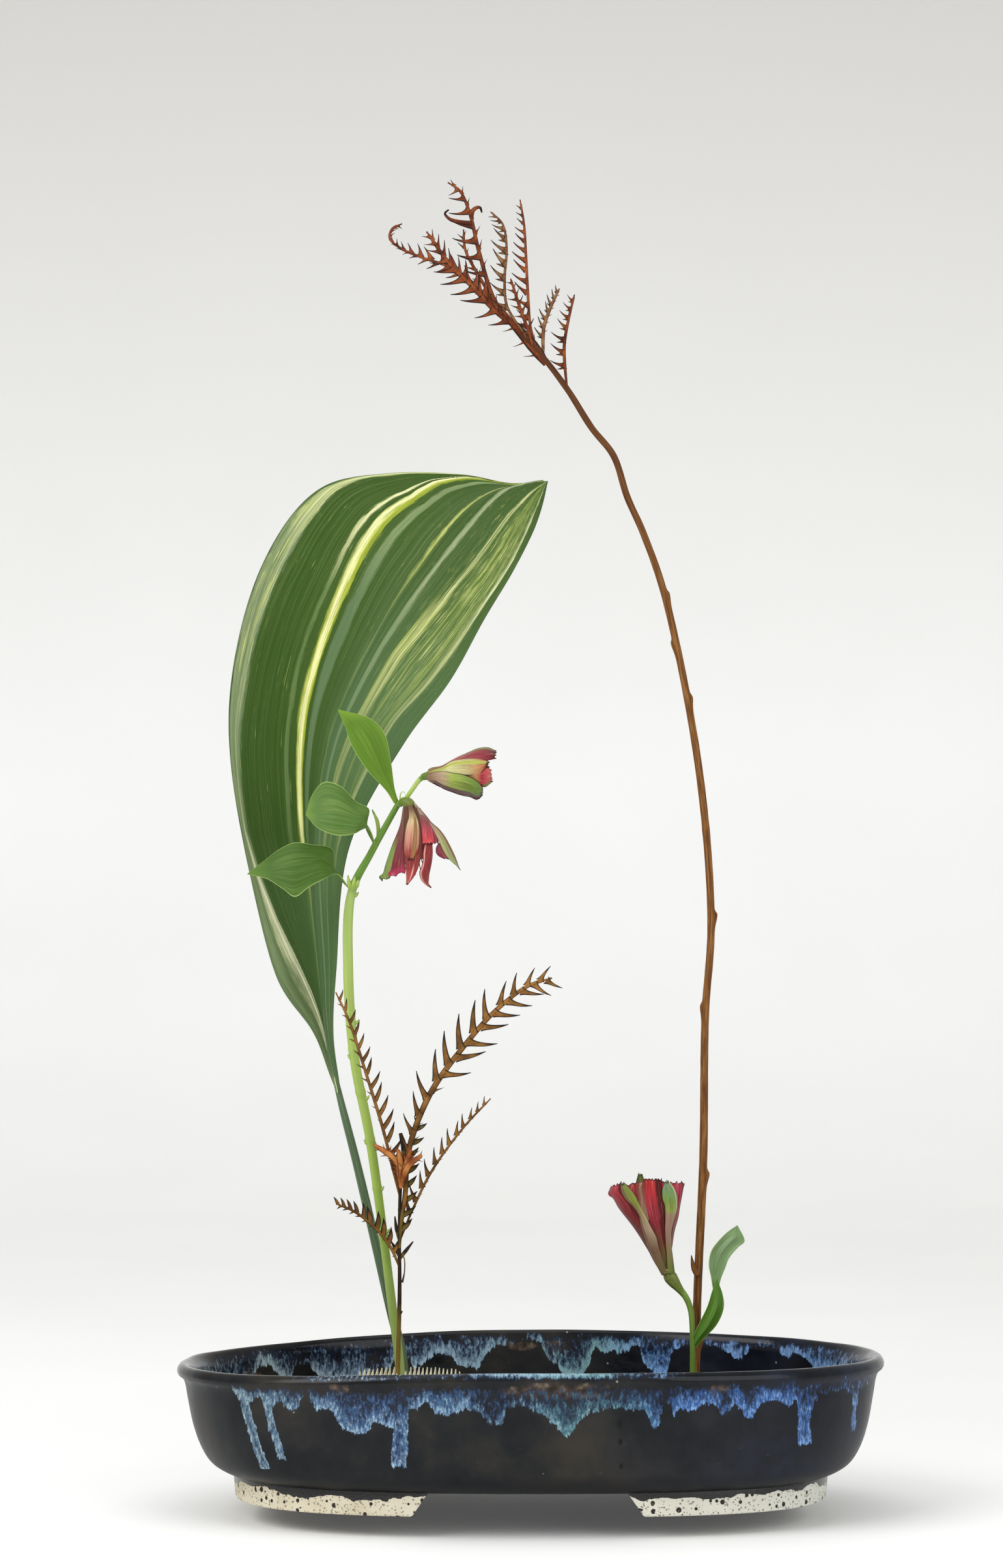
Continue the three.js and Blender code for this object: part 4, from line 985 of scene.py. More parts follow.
GREEN = "#334e16"
COOL_GREEN = "#3e5628"
LEFT_STRIPES = {
    "foot": bands(
        (-1, "#71855f"), (-0.98, "#8c9c74"), (-0.95, "#6d8258"), (-0.94, "#a5b083"),
        (-0.925, "#e4e4bc"), (-0.9, "#eaeac8"), (-0.89, "#3a5426"), (-0.5, "#405b30"),
        (-0.43, "#4f6a3c"), (-0.4, "#7d9152"), (-0.37, "#46613a"), (0, "#456040")),
    "middle": bands(
        (-1, "#33491f"), (-0.985, "#8d9a72"), (-0.94, "#7f8f68"), (-0.92, "#a3ad84"),
        (-0.89, "#8a9a73"), (-0.875, GREEN), (-0.54, GREEN), (-0.53, "#5d7440"),
        (-0.505, "#5a7140"), (-0.5, GREEN), (-0.44, GREEN), (-0.435, "#9aa63a"),
        (-0.425, "#b9bd55"), (-0.415, "#f0efb0"), (-0.385, "#e6e59c"), (-0.375, "#a3ad33"),
        (-0.355, "#8b9a2c"), (-0.35, GREEN), (-0.31, GREEN), (-0.3, "#5c7350"), (-0.23, "#587049"),
        (-0.22, GREEN), (-0.02, COOL_GREEN), (0, "#6f8550")),
    "top": bands(
        (-1, "#33491f"), (-0.975, "#3f5a24"), (-0.965, "#cdd39a"), (-0.93, "#dfe2ae"),
        (-0.91, "#b5c07c"), (-0.9, "#dde0ac"), (-0.885, GREEN), (-0.55, GREEN),
        (-0.545, "#d5d99c"), (-0.515, "#e2e3ae"), (-0.505, GREEN), (-0.455, GREEN),
        (-0.45, "#9faa3c"), (-0.435, "#f1f0b6"), (-0.4, "#eeedb0"), (-0.39, "#a9b23a"),
        (-0.36, "#8f9d2e"), (-0.35, GREEN), (-0.3, GREEN), (-0.295, "#7d8f62"), (-0.25, "#75885a"),
        (-0.245, GREEN), (-0.02, COOL_GREEN), (-0.01, "#b5bd6a"), (0, "#b5bd6a")),
}
RIGHT_STRIPES = {
    "foot": bands(
        (0, "#456040"), (0.2, "#4d684b"), (0.22, "#a9b58f"), (0.27, "#98a780"), (0.3, "#4d684b"),
        (0.55, "#5a7350"), (0.58, "#b3bd97"), (0.64, "#a0ad86"), (0.66, "#4f6a45"),
        (1.25, "#647b52")),
    "middle": bands(
        (0, "#6f8550"), (0.02, COOL_GREEN), (0.12, COOL_GREEN), (0.14, "#7f9268"),
        (0.19, "#8a9a70"), (0.2, COOL_GREEN), (0.34, COOL_GREEN), (0.36, "#a9b456"),
        (0.4, "#e4e59c"), (0.44, "#cfd36a"), (0.48, "#eaeab0"), (0.5, "#93a23c"),
        (0.54, COOL_GREEN), (0.6, "#5f7a3a"), (0.64, "#b0b95c"), (0.68, "#5c7639"),
        (0.8, "#4f6a35"), (0.84, "#9aa84c"), (0.9, "#7d9140"), (0.95, "#cfd38a"), (1, "#dfe0a6"),
        (1.02, COOL_GREEN), (1.25, "#405a2c")),
    "top": bands(
        (0, "#b5bd6a"), (0.015, COOL_GREEN), (0.12, COOL_GREEN), (0.13, "#8c9b71"),
        (0.17, "#a3ae88"), (0.18, COOL_GREEN), (0.42, COOL_GREEN), (0.43, "#c9ce8e"),
        (0.455, "#dcdfa6"), (0.47, "#92a044"), (0.5, COOL_GREEN), (0.62, "#536d34"),
        (0.64, "#9aa84e"), (0.67, "#5c7639"), (0.74, "#8d9d46"), (0.78, "#4f6a35"),
        (0.86, "#7f9142"), (0.9, "#4f6a35"), (0.96, "#4a6431"), (0.975, "#dcdfae"),
        (1.02, "#e2e4b4"), (1.03, "#3d5628"), (1.25, "#3a5226")),
}

leaf_skin, add, feed = new_material("variegated_waxy_leaf", Roughness=0.5, IOR=1.4,
                                    Specular_IOR_Level=0.16)
uv, place = located(add, "UV")
threads = stretched_noise(add, uv, (300, 9, 0), Detail=4, Roughness=0.7)
wander = stretched_noise(add, uv, (55, 14, 0), Detail=6, Roughness=0.75)
vein = wavering(add, place["X"], wander, 0.036)
rib_place = -FIRST_VEIN / (LAST_VEIN - FIRST_VEIN)
is_right = add("Math", {0: vein, 1: rib_place}, operation="GREATER_THAN")
levels = []
for level in ("foot", "middle", "top"):
    halves = [add("ValToRGB", {"Fac": vein}, stops=stripes[level])
              for stripes in (LEFT_STRIPES, RIGHT_STRIPES)]
    levels.append(add("Mix", {0: is_right, 6: halves[0], 7: halves[1]}))
height = add("Math", {0: threads, 1: 0.2, 2: place["Y"]}, operation="MULTIPLY_ADD")
lower = painted(add, levels[0], levels[1], height, 0.36, 0.42)
striped = painted(add, lower, levels[2], height, 0.62, 0.7)
frayed = painted(add, striped, "#44602a", threads, 0.5, 0.62, 0.5)
threaded = painted(add, frayed, "#8a9a66", threads, 0.42, 0.3, 0.3)
# Pale flecks lie near both edges, and the pale stripes are torn by green threads
fleck_noise = stretched_noise(add, uv, (330, 22, 0), Detail=3, Roughness=0.6)
fleck_across = add("ValToRGB", {"Fac": vein}, stops=bands(
    (-1, 0.1), (-0.97, 0.8), (-0.9, 0.9), (-0.86, 0.05), (0.1, 0.05), (0.3, 0.3), (0.5, 0.8),
    (0.9, 1), (1.0, 0.7), (1.1, 0.2)))
fleck_along = add("ValToRGB", {"Fac": place["Y"]},
                  stops=[(0.3, 0.1), (0.45, 0.9), (0.75, 1), (0.92, 0.3)])
fleck_share = add("Math", {0: fleck_across, 1: fleck_along}, operation="MULTIPLY")
fleck_level = add("Math", {0: fleck_share, 1: 0.2, 2: fleck_noise}, operation="MULTIPLY_ADD")
flecked = painted(add, threaded, "#c3ca7e", fleck_level, 0.69, 0.73, 0.8)
torn_noise = stretched_noise(add, uv, (200, 5, 0), Detail=4, Roughness=0.65)
torn_mask = add("MapRange", {"Value": torn_noise, "From Min": 0.475, "From Max": 0.51,
                             "To Max": 0.92})
torn_across = add("ValToRGB", {"Fac": vein}, stops=bands(
    (-0.97, 0.3), (-0.9, 0.5), (-0.86, 0), (0.3, 0.25), (0.4, 0.8), (0.9, 1), (1, 0.55)))
torn_share = add("Math", {0: torn_mask, 1: torn_across}, operation="MULTIPLY")
torn = add("Mix", {0: torn_share, 6: flecked, 7: "#3f5a28"})
# The lower part of the right half is a duller green
low = add("MapRange", {"Value": place["Y"], "From Min": 0.6, "From Max": 0.4, "To Max": 0.6})
low_right = add("Math", {0: low, 1: is_right}, operation="MULTIPLY")
dulled = add("Mix", {0: low_right, 6: torn, 7: "#4e6a44"})
fine_lines = stretched_noise(add, uv, (620, 2.5, 0), Detail=2)
leaf_colour = painted(add, dulled, "#86995a", fine_lines, 0.58, 0.64, 0.3)
vein_wave = add("Bump", {"Height": threads, "Strength": 0.3, "Distance": 0.0006})
feed(Base_Color=leaf_colour, Normal=vein_wave)
settle(leaf, "leaf_blade", leaf_skin, ["striped_leaf"], smooth_deg=60)

# %% Fleshy stalks and stems
def stem_material(name, streak, *tones):
    """Smooth green skin with long fine streaks. The tones are (share along the piece, colour)."""
    material, add, feed = new_material(name, Roughness=0.45, IOR=1.42, Specular_IOR_Level=0.3)
    uv, place = located(add, "UV")
    tone = add("ValToRGB", {"Fac": place["Y"]}, stops=tones)
    lines = stretched_noise(add, uv, (14, 6, 0), Detail=4)
    colour = painted(add, tone, streak, lines, 0.45, 0.7, 0.6)
    ridges = add("Bump", {"Height": lines, "Strength": 0.2, "Distance": 0.0005})
    feed(Base_Color=colour, Normal=ridges)
    return material


leaf_stalk_skin = stem_material("leaf_stalk_skin", "#7c8f70", (0, "#4a5f40"), (1, "#51684a"))
fresh_stem_skin = stem_material("fresh_stem_skin", "#8fae4c", (0, "#a3b474"), (0.3, "#98b44a"),
                                (0.7, "#a9bd68"), (0.83, "#a6bf6c"), (0.86, "#5d8a35"),
                                (1, "#587f30"))
leaf_stalk = tube(LEAF_STALK, [2.7, 2.6, 2.4, 2.3, 2, 1.1, 0.5], 20, 90)
settle(leaf_stalk, "leaf_stalk", leaf_stalk_skin)

# %% [markdown]
# The leafy flower stem is round and jointed. Two flower stalks leave its top, a thin bract
# curls in the fork, and three soft leaves stand below. Each leaf is a small blade with its own
# cross lines, which fold it over or let its edge curl.

# %% Leafy flower stem
FLOWER_STEM = [(-67, 50, 37.9), (-67, 50, 54), (-71, 47, 87), (-82, 35, 172), (-90, 27, 215),
               (-93, 18, 260), (-91, 10, 300), (-81, 6, 320), (-67, 2, 345)]
FLOWER_STEM_RADII = [2.5, 2.4, 2.3, 2.3, 2.4, 2.5, 2.6, 2.6, 2.5, 1.8, 1.5]
SIDE_STALK = [(-66.5, 2, 344), (-63.3, 1, 347.4), (-59.5, 0.3, 352.6), (-56.4, -0.2, 356.8),
              (-54, -0.4, 358.6)]
HANGING_STALK = [(-67, 2, 344), (-65.4, 1.2, 346.4), (-63.3, -0.1, 346.9), (-61.9, -1.1, 344.5)]
CURLED_BRACT = [(-79, 6, 324), (-77.5, 7, 329), (-78, 8, 336), (-80.5, 5, 342)]
FORK_CURL = [(-66.2, 1.4, 346), (-66, 0.4, 349.6), (-65.3, 0.2, 350.7), (-64.3, 0.2, 350.9),
             (-63.6, 0.2, 350)]
# Three pointed scales round the joint below the fork, each from its foot to its tip
JOINT_SCALES = [[(-91, 8.4, 301), (-92.3, 5.6, 305), (-92.8, 5.2, 308.6)],
                [(-90.4, 7.6, 301.6), (-89.6, 4.9, 305.2), (-89.1, 4.6, 308.2)],
                [(-89.2, 7.4, 302.4), (-87.8, 5, 304.8), (-87.4, 4.8, 306.6)]]
STEM_JOINTS = [0.27, 0.35, 0.43, 0.51, 0.58, 0.64]
JOINT_LENGTH = 0.004
JOINT_SWELL = 0.12
STEM_RIDGES = 5
STEM_RIDGE = 0.03
# Height of each scar's nub and the side it stands on
STEM_NUBS = [(233, 1), (215, -1), (194, 1), (171, -1), (147, 1), (125, 1),
             (303, -1), (298, 1)]


def jointed(turn, share):
    rings = sum(np.exp(-(((share - joint) / JOINT_LENGTH) ** 2)) for joint in STEM_JOINTS)
    return 1 + JOINT_SWELL * rings + STEM_RIDGE * np.cos(2 * np.pi * STEM_RIDGES * turn)


def nub(height, side):
    """A short pointed scar that hugs the stem."""
    knots = np.array(FLOWER_STEM, float)
    centre = points_at(height, knots[:, 2], knots)
    return tube([centre, centre + (2.4 * side, -0.8, 0.6), centre + (3.6 * side, -1, 2.2)],
                [1.3, 1.1, 0.8, 0.2], 8, 10)


flower_stem = join([nub(*place) for place in STEM_NUBS] + [
    tube(FLOWER_STEM, FLOWER_STEM_RADII, 18, 220, jointed),
    tube(SIDE_STALK, [1.3, 1.15, 1.15, 1.2, 1.4], 12, 30),
    tube(HANGING_STALK, [1.4, 1.3, 1.3, 1.5], 12, 20),
    tube(CURLED_BRACT, [0.5, 1, 1, 0.3], 8, 20),
    tube(FORK_CURL, [0.4, 0.32, 0.28, 0.22, 0.1], 8, 16),
] + [tube(scale, [1.3, 1.4, 1, 0.2], 8, 12) for scale in JOINT_SCALES])
settle(flower_stem, "flower_stem", fresh_stem_skin, ["leafy_flower_stem"])

# %% Soft leaves
UPPER_LEAF = [[(-69, 1, 345), (-68, 2, 345.5), (-67, 3, 346)],
              [(-73, -1, 351), (-71, 0, 352), (-69, 2, 352)],
              [(-83, -4, 362), (-77, -4, 365), (-71, 0, 367)],
              [(-91, -3, 375), (-84, -6, 379), (-74, -1, 380)],
              [(-94, -1, 384), (-90, -5, 386), (-81, 0, 388)]]
FOLDED_LEAF = [[(-79.5, 6, 323.5), (-79, 5, 323), (-78.5, 4, 322.5)],
               [(-84, 3, 334), (-83, 2, 333), (-82, 1, 332)],
               [(-82, 2, 342), (-85, -2, 337), (-86, -4, 331)],
               [(-89, 3, 346), (-89, -4, 338), (-89, -7, 329)],
               [(-97, 4, 354), (-98, -5, 341), (-97, -9, 328)],
               [(-105, 4, 356), (-104, -4, 341), (-104, -8, 330)],
               [(-111, 2, 349), (-110, -3, 340), (-109, -6, 333)]]
CURLED_LEAF = [[(-92, 11, 301), (-91, 10, 300), (-91, 9, 299)],
               [(-100, 7, 311), (-99, 6, 310), (-98, 5, 309)],
               [(-101, 6, 322), (-105, 2, 316), (-105, -3, 306)],
               [(-111, 5, 324), (-112, 0, 316), (-112, -6, 302)],
               [(-120, 4, 325), (-120, -2, 315), (-119, -8, 297)],
               [(-127, 4, 322), (-128, -1, 313), (-125, -6, 301)],
               [(-135, 5, 316), (-136, 1, 311), (-133, -3, 306)]]
TWISTED_LOWER = [[(79.6, -13, 70), (80.6, -13, 70), (81.6, -13, 70)],
                 [(81, -14, 76), (83.5, -15, 75.5), (86, -14, 75.5)],
                 [(84, -15, 83), (88.5, -17, 82.5), (93, -15, 83)],
                 [(88.3, -16, 92), (92.5, -18, 91), (96.4, -15, 91)],
                 [(90.5, -17, 99), (93.5, -17.5, 98.5), (96, -15, 98)]]
TWISTED_UPPER = [[(91.5, -15, 100), (92.6, -14, 100), (94, -14, 100)],
                 [(90.3, -15, 107), (92.5, -13, 106.5), (95.5, -13, 106)],
                 [(89.2, -16, 113), (93, -14, 112.5), (97.5, -13.5, 111)],
                 [(90.6, -17, 120), (95, -15, 118.5), (99.5, -14.5, 116)],
                 [(95.2, -17, 126), (99.5, -16, 124), (104, -15.5, 121.5)],
                 [(99, -16.5, 129.5), (103, -17, 127.5), (107, -17, 124.5)]]
SMALL_FURROWS = 5
SMALL_FURROW_DEPTH = 0.12
EDGE_WAVE = 0.25


def soft_leaf_relief(across, share):
    furrows = SMALL_FURROW_DEPTH * np.cos(2 * np.pi * SMALL_FURROWS * across)
    waves = EDGE_WAVE * ripple(5, 7 * share) * abs(across)
    return furrows * np.sin(np.pi * share) + waves


def soft_leaf_material(name, low, high, vein):
    """Thin matt leaf, lighter along its veins and at its margin."""
    material, add, feed = new_material(name, Roughness=0.5, IOR=1.42, Specular_IOR_Level=0.25)
    uv, place = located(add, "UV")
    tone = add("ValToRGB", {"Fac": place["Y"]},
               stops=[(0, high), (0.35, low), (0.8, low), (1, high)])
    lines = stretched_noise(add, uv, (26, 2.5, 0), Detail=5)
    veined = painted(add, tone, vein, lines, 0.47, 0.7, 0.75)
    side = distance_from(add, place["X"])
    colour = painted(add, veined, "#a9c070", side, 0.475, 0.5, 0.7)
    ridges = add("Bump", {"Height": lines, "Strength": 0.3, "Distance": 0.0005})
    feed(Base_Color=colour, Normal=ridges)
    return material


fresh_leaf = soft_leaf_material("fresh_soft_leaf", "#55791f", "#78982c", "#6f902f")
cool_leaf = soft_leaf_material("cool_soft_leaf", "#4b6c2c", "#6a8938", "#6d8842")
lower_leaf = soft_leaf_material("lower_soft_leaf", "#3e5d1d", "#5d7e2e", "#5b7b36")
twisted_lower = soft_leaf_material("twisted_leaf_front", "#4b741f", "#44701c", "#6c9440")
twisted_upper = soft_leaf_material("twisted_leaf_back", "#76945f", "#65874c", "#a3b896")
SOFT_LEAVES = [
    ("upper_leaf", UPPER_LEAF, (-98, 1, 393), fresh_leaf),
    ("folded_leaf", FOLDED_LEAF, (-114, -3, 339), cool_leaf),
    ("curled_leaf", CURLED_LEAF, (-144, 4, 309), lower_leaf),
    ("twisted_leaf_foot", TWISTED_LOWER, (93, -16, 106), twisted_lower),
    ("twisted_leaf_end", TWISTED_UPPER, (103.5, -17, 132.5), twisted_upper),
]
for name, lines, tip, material in SOFT_LEAVES:
    piece = blade(lines, tip, 28, 60, (1, 1), 0.45, soft_leaf_relief)
    settle(piece, name, material, smooth_deg=60)

# %% Short flower stem
SHORT_STEM = [(81, -13, 37.9), (81, -13, 60), (81, -13, 78), (80.3, -12.5, 89.5),
              (78.6, -12.2, 94.8), (76.2, -12, 98.7), (73.8, -12, 101.4)]
stalk_skin = stem_material("olive_flower_stalk_skin", "#7f9a48", (0, "#48661e"),
                           (1, "#6a8434"))
short_stem = tube(SHORT_STEM, [1.5, 1.4, 1.4, 1.35, 1.4, 1.5, 1.7], 14, 80)
settle(short_stem, "short_stem", stalk_skin, ["short_flower_stem"])

# %% [markdown]
# Each bloom is a trumpet of tepals that grow from a small green receptacle. A tepal is a sheet
# between two edges, given as they show from the front, and lies on the trumpet, so its depth
# follows from its place. Outer tepals have a thick green end, inner ones a torn crimson one. The
# hanging bloom has faded: two of its tepals are torn to strips and one has lost a flap.

# %% Bloom shape
TEPAL_ROWS = 44
TEPAL_COLUMNS = 16
# In mm: thickness, raggedness of the end, bulge of the middle and crinkles, and the shares of
# the length between which the last three set in
TEPAL_THICKNESS = 0.3
TORN_END = 1.1
TEPAL_BULGE = 0.9
TEPAL_CRINKLE = 0.45
TORN_FROM = (0.8, 1)
BULGED_FROM = (0.05, 0.4)
CRINKLED_FROM = (0.4, 1)
# Radians from one stamen to the next, and shares of the bloom's length: where a filament leaves
# the receptacle, where it bends, where the shortest ends, what the next is longer by, and the
# anther's length
STAMEN_TURN = 2.4
STAMEN_FOOT = 0.2
STAMEN_BEND = 0.5
STAMEN_END = 0.86
STAMEN_STEP = 0.05
ANTHER_LENGTH = 0.06
FILAMENT_RADII = [0.3, 0.25, 0.25]
ANTHER_RADII = [0.3, 0.8, 0.8, 0.3]


def tepal(bloom, seed, layer, left, right):
    """A tepal between two edges. A layer over 0 lies that far in front, one under 0 behind."""
    base, mouth = (np.array(place, float) for place in bloom["axis"])
    depth_per_mm = (mouth[1] - base[1]) / np.linalg.norm(mouth - base)
    flat_axis = unit((mouth - base) * (1, 0, 1))
    length = (mouth - base) @ flat_axis
    shares = np.linspace(0, 1, TEPAL_ROWS + 1)
    left, right = (curve_through([(x, base[1], z) for x, z in edge], shares)
                   for edge in (left, right))
    growth = unit(np.gradient((left + right) / 2, axis=0))

    def place(u, v):
        row = np.rint(v * TEPAL_ROWS).astype(int)
        across = 2 * u - 1
        torn = TORN_END * ripple(seed, 9 * across, 31 * across) * smoothstep(v, *TORN_FROM)
        points = left[row] + (right[row] - left[row]) * u[:, None] + growth[row] * torn[:, None]
        from_base = points - base
        reach = from_base @ flat_axis
        aside = np.linalg.norm(from_base - reach[:, None] * flat_axis, axis=1)
        radius = stations(bloom["radii"], reach / length)
        out = bloom["fullness"] * np.sqrt(np.maximum(radius**2 - aside**2, 0)) + abs(layer)
        out = out + TEPAL_BULGE * (1 - across**2) * smoothstep(v, *BULGED_FROM)
        crinkle = ripple(seed + 5, 5 * across, 8 * v) * smoothstep(v, *CRINKLED_FROM)
        out = out + TEPAL_CRINKLE * crinkle
        points[:, 1] = base[1] + depth_per_mm * reach - np.sign(layer) * out
        return points

    return sheet(TEPAL_COLUMNS, TEPAL_ROWS, place, TEPAL_THICKNESS)


def stamens(bloom, count):
    """Thin filaments with a small anther each, inside the mouth."""
    base, mouth = (np.array(place, float) for place in bloom["axis"])
    axis = mouth - base
    parts = []
    for order in range(count):
        angle = STAMEN_TURN * order
        out = np.array((math.cos(angle), math.sin(angle), 0.3 * math.cos(angle)))
        end = base + axis * (STAMEN_END + STAMEN_STEP * (order % 3)) + out * (3 + order % 3)
        path = [base + axis * STAMEN_FOOT, base + axis * STAMEN_BEND + out, end]
        parts.append(tube(path, FILAMENT_RADII, 6, 14))
        parts.append(tube([end, end + ANTHER_LENGTH * axis], ANTHER_RADII, 8, 8))
    return join(parts)


# %% [markdown]
# A tepal's colour runs from its base to its end, with a band of another colour along it: the green
# keel, the brown margin, or a dark red band of painted shade where the tepal folds. Thin dark
# lines follow the veins, with pale streaks of painted highlight between them, and the edges and
# torn ends are nearly black.

# %% Tepal skins
def tepal_skin(name, tones, band_or_fold_shade_colour, band_place, band_half_width, band_start):
    material, add, feed = new_material(name, Roughness=0.55, IOR=1.4, Sheen_Weight=0.1,
                                       Specular_IOR_Level=0.25)
    uv, place = located(add, "UV")
    lines = stretched_noise(add, uv, (22, 2.5, 0), Detail=5, Roughness=0.65)
    along = wavering(add, place["Y"], lines, 0.24)
    rising = add("ValToRGB", {"Fac": along}, stops=tones)
    from_band = distance_from(add, wavering(add, place["X"], lines, 0.1), band_place)
    band = add("MapRange", {"Value": from_band, "From Min": band_half_width,
                            "From Max": band_half_width * 0.75})
    begun = add("MapRange", {"Value": along, "From Min": band_start - 0.05,
                             "From Max": band_start + 0.06})
    band = add("Math", {0: band, 1: begun}, operation="MULTIPLY")
    banded = add("Mix", {0: band, 6: rising, 7: band_or_fold_shade_colour})
    lined = painted(add, banded, "#47201c", lines, 0.52, 0.62, 0.5)
    lit = painted(add, lined, "#d9a898", lines, 0.44, 0.36, 0.3)
    side = distance_from(add, place["X"])
    edge = add("MapRange", {"Value": side, "From Min": 0.44, "From Max": 0.49, "To Max": 0.85})
    end = add("MapRange", {"Value": place["Y"], "From Min": 0.965, "From Max": 0.985,
                           "To Max": 0.85})
    dark = add("Math", {0: end, 1: edge}, operation="MAXIMUM")
    colour = add("Mix", {0: dark, 6: lit, 7: "#22090b"})
    ridges = add("Bump", {"Height": lines, "Strength": 0.45, "Distance": 0.0006})
    feed(Base_Color=colour, Normal=ridges)
    return material


# %% [markdown]
# The three blooms follow. Each tepal has its layer, its colours from base to end, its band
# (colour, place across, half width and start along) and its two edges.

# %% Blooms
HANGING_TEPALS = {
    "left": (1, [(0.08, "#6e4f3c"), (0.3, "#6b2f33"), (0.6, "#77202d"), (0.95, "#a2284a")],
        ("#728a3f", 0.17, 0.2, 0.3),
        [(-64.4, 343.2), (-66, 333.2), (-70, 322.6), (-73.3, 312.7), (-74.4, 309.1),
         (-76.5, 307.1), (-74.9, 305.1)],
        [(-63.1, 343.2), (-62.7, 333.2), (-63.4, 322.6), (-63.2, 315), (-63, 312.7), (-62.7, 311),
         (-62.7, 309.4)]),
    "cream": (2.2, [(0.06, "#6b5038"), (0.3, "#c9b688"), (0.48, "#c08a74"), (0.72, "#9a4438"),
        (0.95, "#702418")], ("#8d6a3c", 0.72, 0.14, 0.16),
        [(-62.1, 343.5), (-61.4, 337.5), (-62.7, 332.6), (-63.7, 322.6), (-63.4, 318),
         (-61.7, 315.7)],
        [(-59.8, 343.5), (-57.5, 337.5), (-56.2, 332.6), (-56.1, 322.6), (-57.4, 318),
         (-58.7, 315.7)]),
    "torn": (1.4, [(0.06, "#5b3a22"), (0.35, "#5b2214"), (0.7, "#8d2a2c"), (0.9, "#b05048")],
        ("#d8a49a", 0.62, 0.07, 0.68),
        [(-63.7, 342.5), (-63.7, 335.2), (-64.2, 326), (-64, 318.7), (-62.7, 312.1),
         (-62.3, 306.1), (-62.2, 303)],
        [(-57.5, 342.5), (-55.8, 335.2), (-54.5, 326.6), (-54.8, 319.3), (-56.4, 311.4),
         (-59, 306.1), (-61.6, 303)]),
    "bright": (0.8, [(0.1, "#7d5f52"), (0.35, "#8a3f46"), (0.65, "#bb434c"), (0.95, "#c9474c")],
        ("#8b3040", 0.85, 0.15, 0.3),
        [(-58.5, 342.5), (-56.6, 337), (-55.5, 331.5), (-55.8, 326), (-55.1, 323.6)],
        [(-56.1, 342.5), (-51.6, 337), (-48, 331.5), (-46.5, 326.6), (-46.5, 324)]),
    "strip": (0.6, [(0.05, "#7c1f22"), (0.5, "#7a2226"), (0.95, "#8f3f30")],
        ("#cf8f88", 0.16, 0.09, 0.05),
        [(-53.1, 324.6), (-54.1, 319.3), (-54.1, 315.4), (-54.8, 311.7), (-55.8, 309.1),
         (-54.8, 305.1), (-52.4, 302.6), (-50.8, 301.6)],
        [(-49.5, 324.6), (-49.2, 319.3), (-49.5, 315.4), (-50.1, 311.7), (-50.8, 308.4),
         (-51.1, 305.8), (-51.2, 303.5), (-50.2, 301.8)]),
    "right": (1, [(0.05, "#a58a78"), (0.35, "#b29b7e"), (0.55, "#a9ab70"), (0.85, "#8f9f62")],
        ("#7e5c40", 0.84, 0.12, 0.1),
        [(-59.4, 344.5), (-53.8, 335.5), (-49.5, 331.2), (-47.2, 327.3), (-42.9, 318.3),
         (-39.3, 314.4), (-36.6, 312.2)],
        [(-58.1, 344.5), (-50.5, 335.5), (-46.2, 331.6), (-42.9, 327.3), (-38.3, 318.3),
         (-36.9, 314.7), (-35.6, 311)]),
    "flap": (0.5, [(0.1, "#7d3040"), (0.9, "#8f3846")], ("#6b2432", 0.2, 0.2, 0.1),
        [(-46.2, 324.3), (-47.5, 322), (-47.5, 319), (-46.2, 317.4), (-43.9, 316.4)],
        [(-45.5, 324), (-44.5, 321.3), (-43.6, 319.7), (-42.6, 318), (-41, 316)]),
    "far": (-0.6, [(0.1, "#6e4a3c"), (0.5, "#6d1f28"), (0.95, "#8b2636")],
        ("#5b6b34", 0.5, 0.12, 0.3),
        [(-63.7, 342.5), (-65, 335.2), (-67.7, 326), (-69.6, 317.4), (-70, 312)],
        [(-58.1, 342.5), (-54, 335.2), (-50, 326.6), (-50.4, 321), (-51, 318)]),
}
HANGING_BLOOM = {
    "axis": ((-61.5, -1.5, 345), (-55.4, -6, 307.8)), "radii": [3.4, 7.6, 12.9, 17, 20],
    "fullness": 0.6, "tepals": HANGING_TEPALS,
    "neck": [(-66.7, 0, 344.5), (-64.1, -0.8, 345.5), (-61.4, -1.6, 344.2), (-60.4, -2, 340.5)],
    "neck_radii": [1.3, 2.2, 3, 3, 1.6],
}
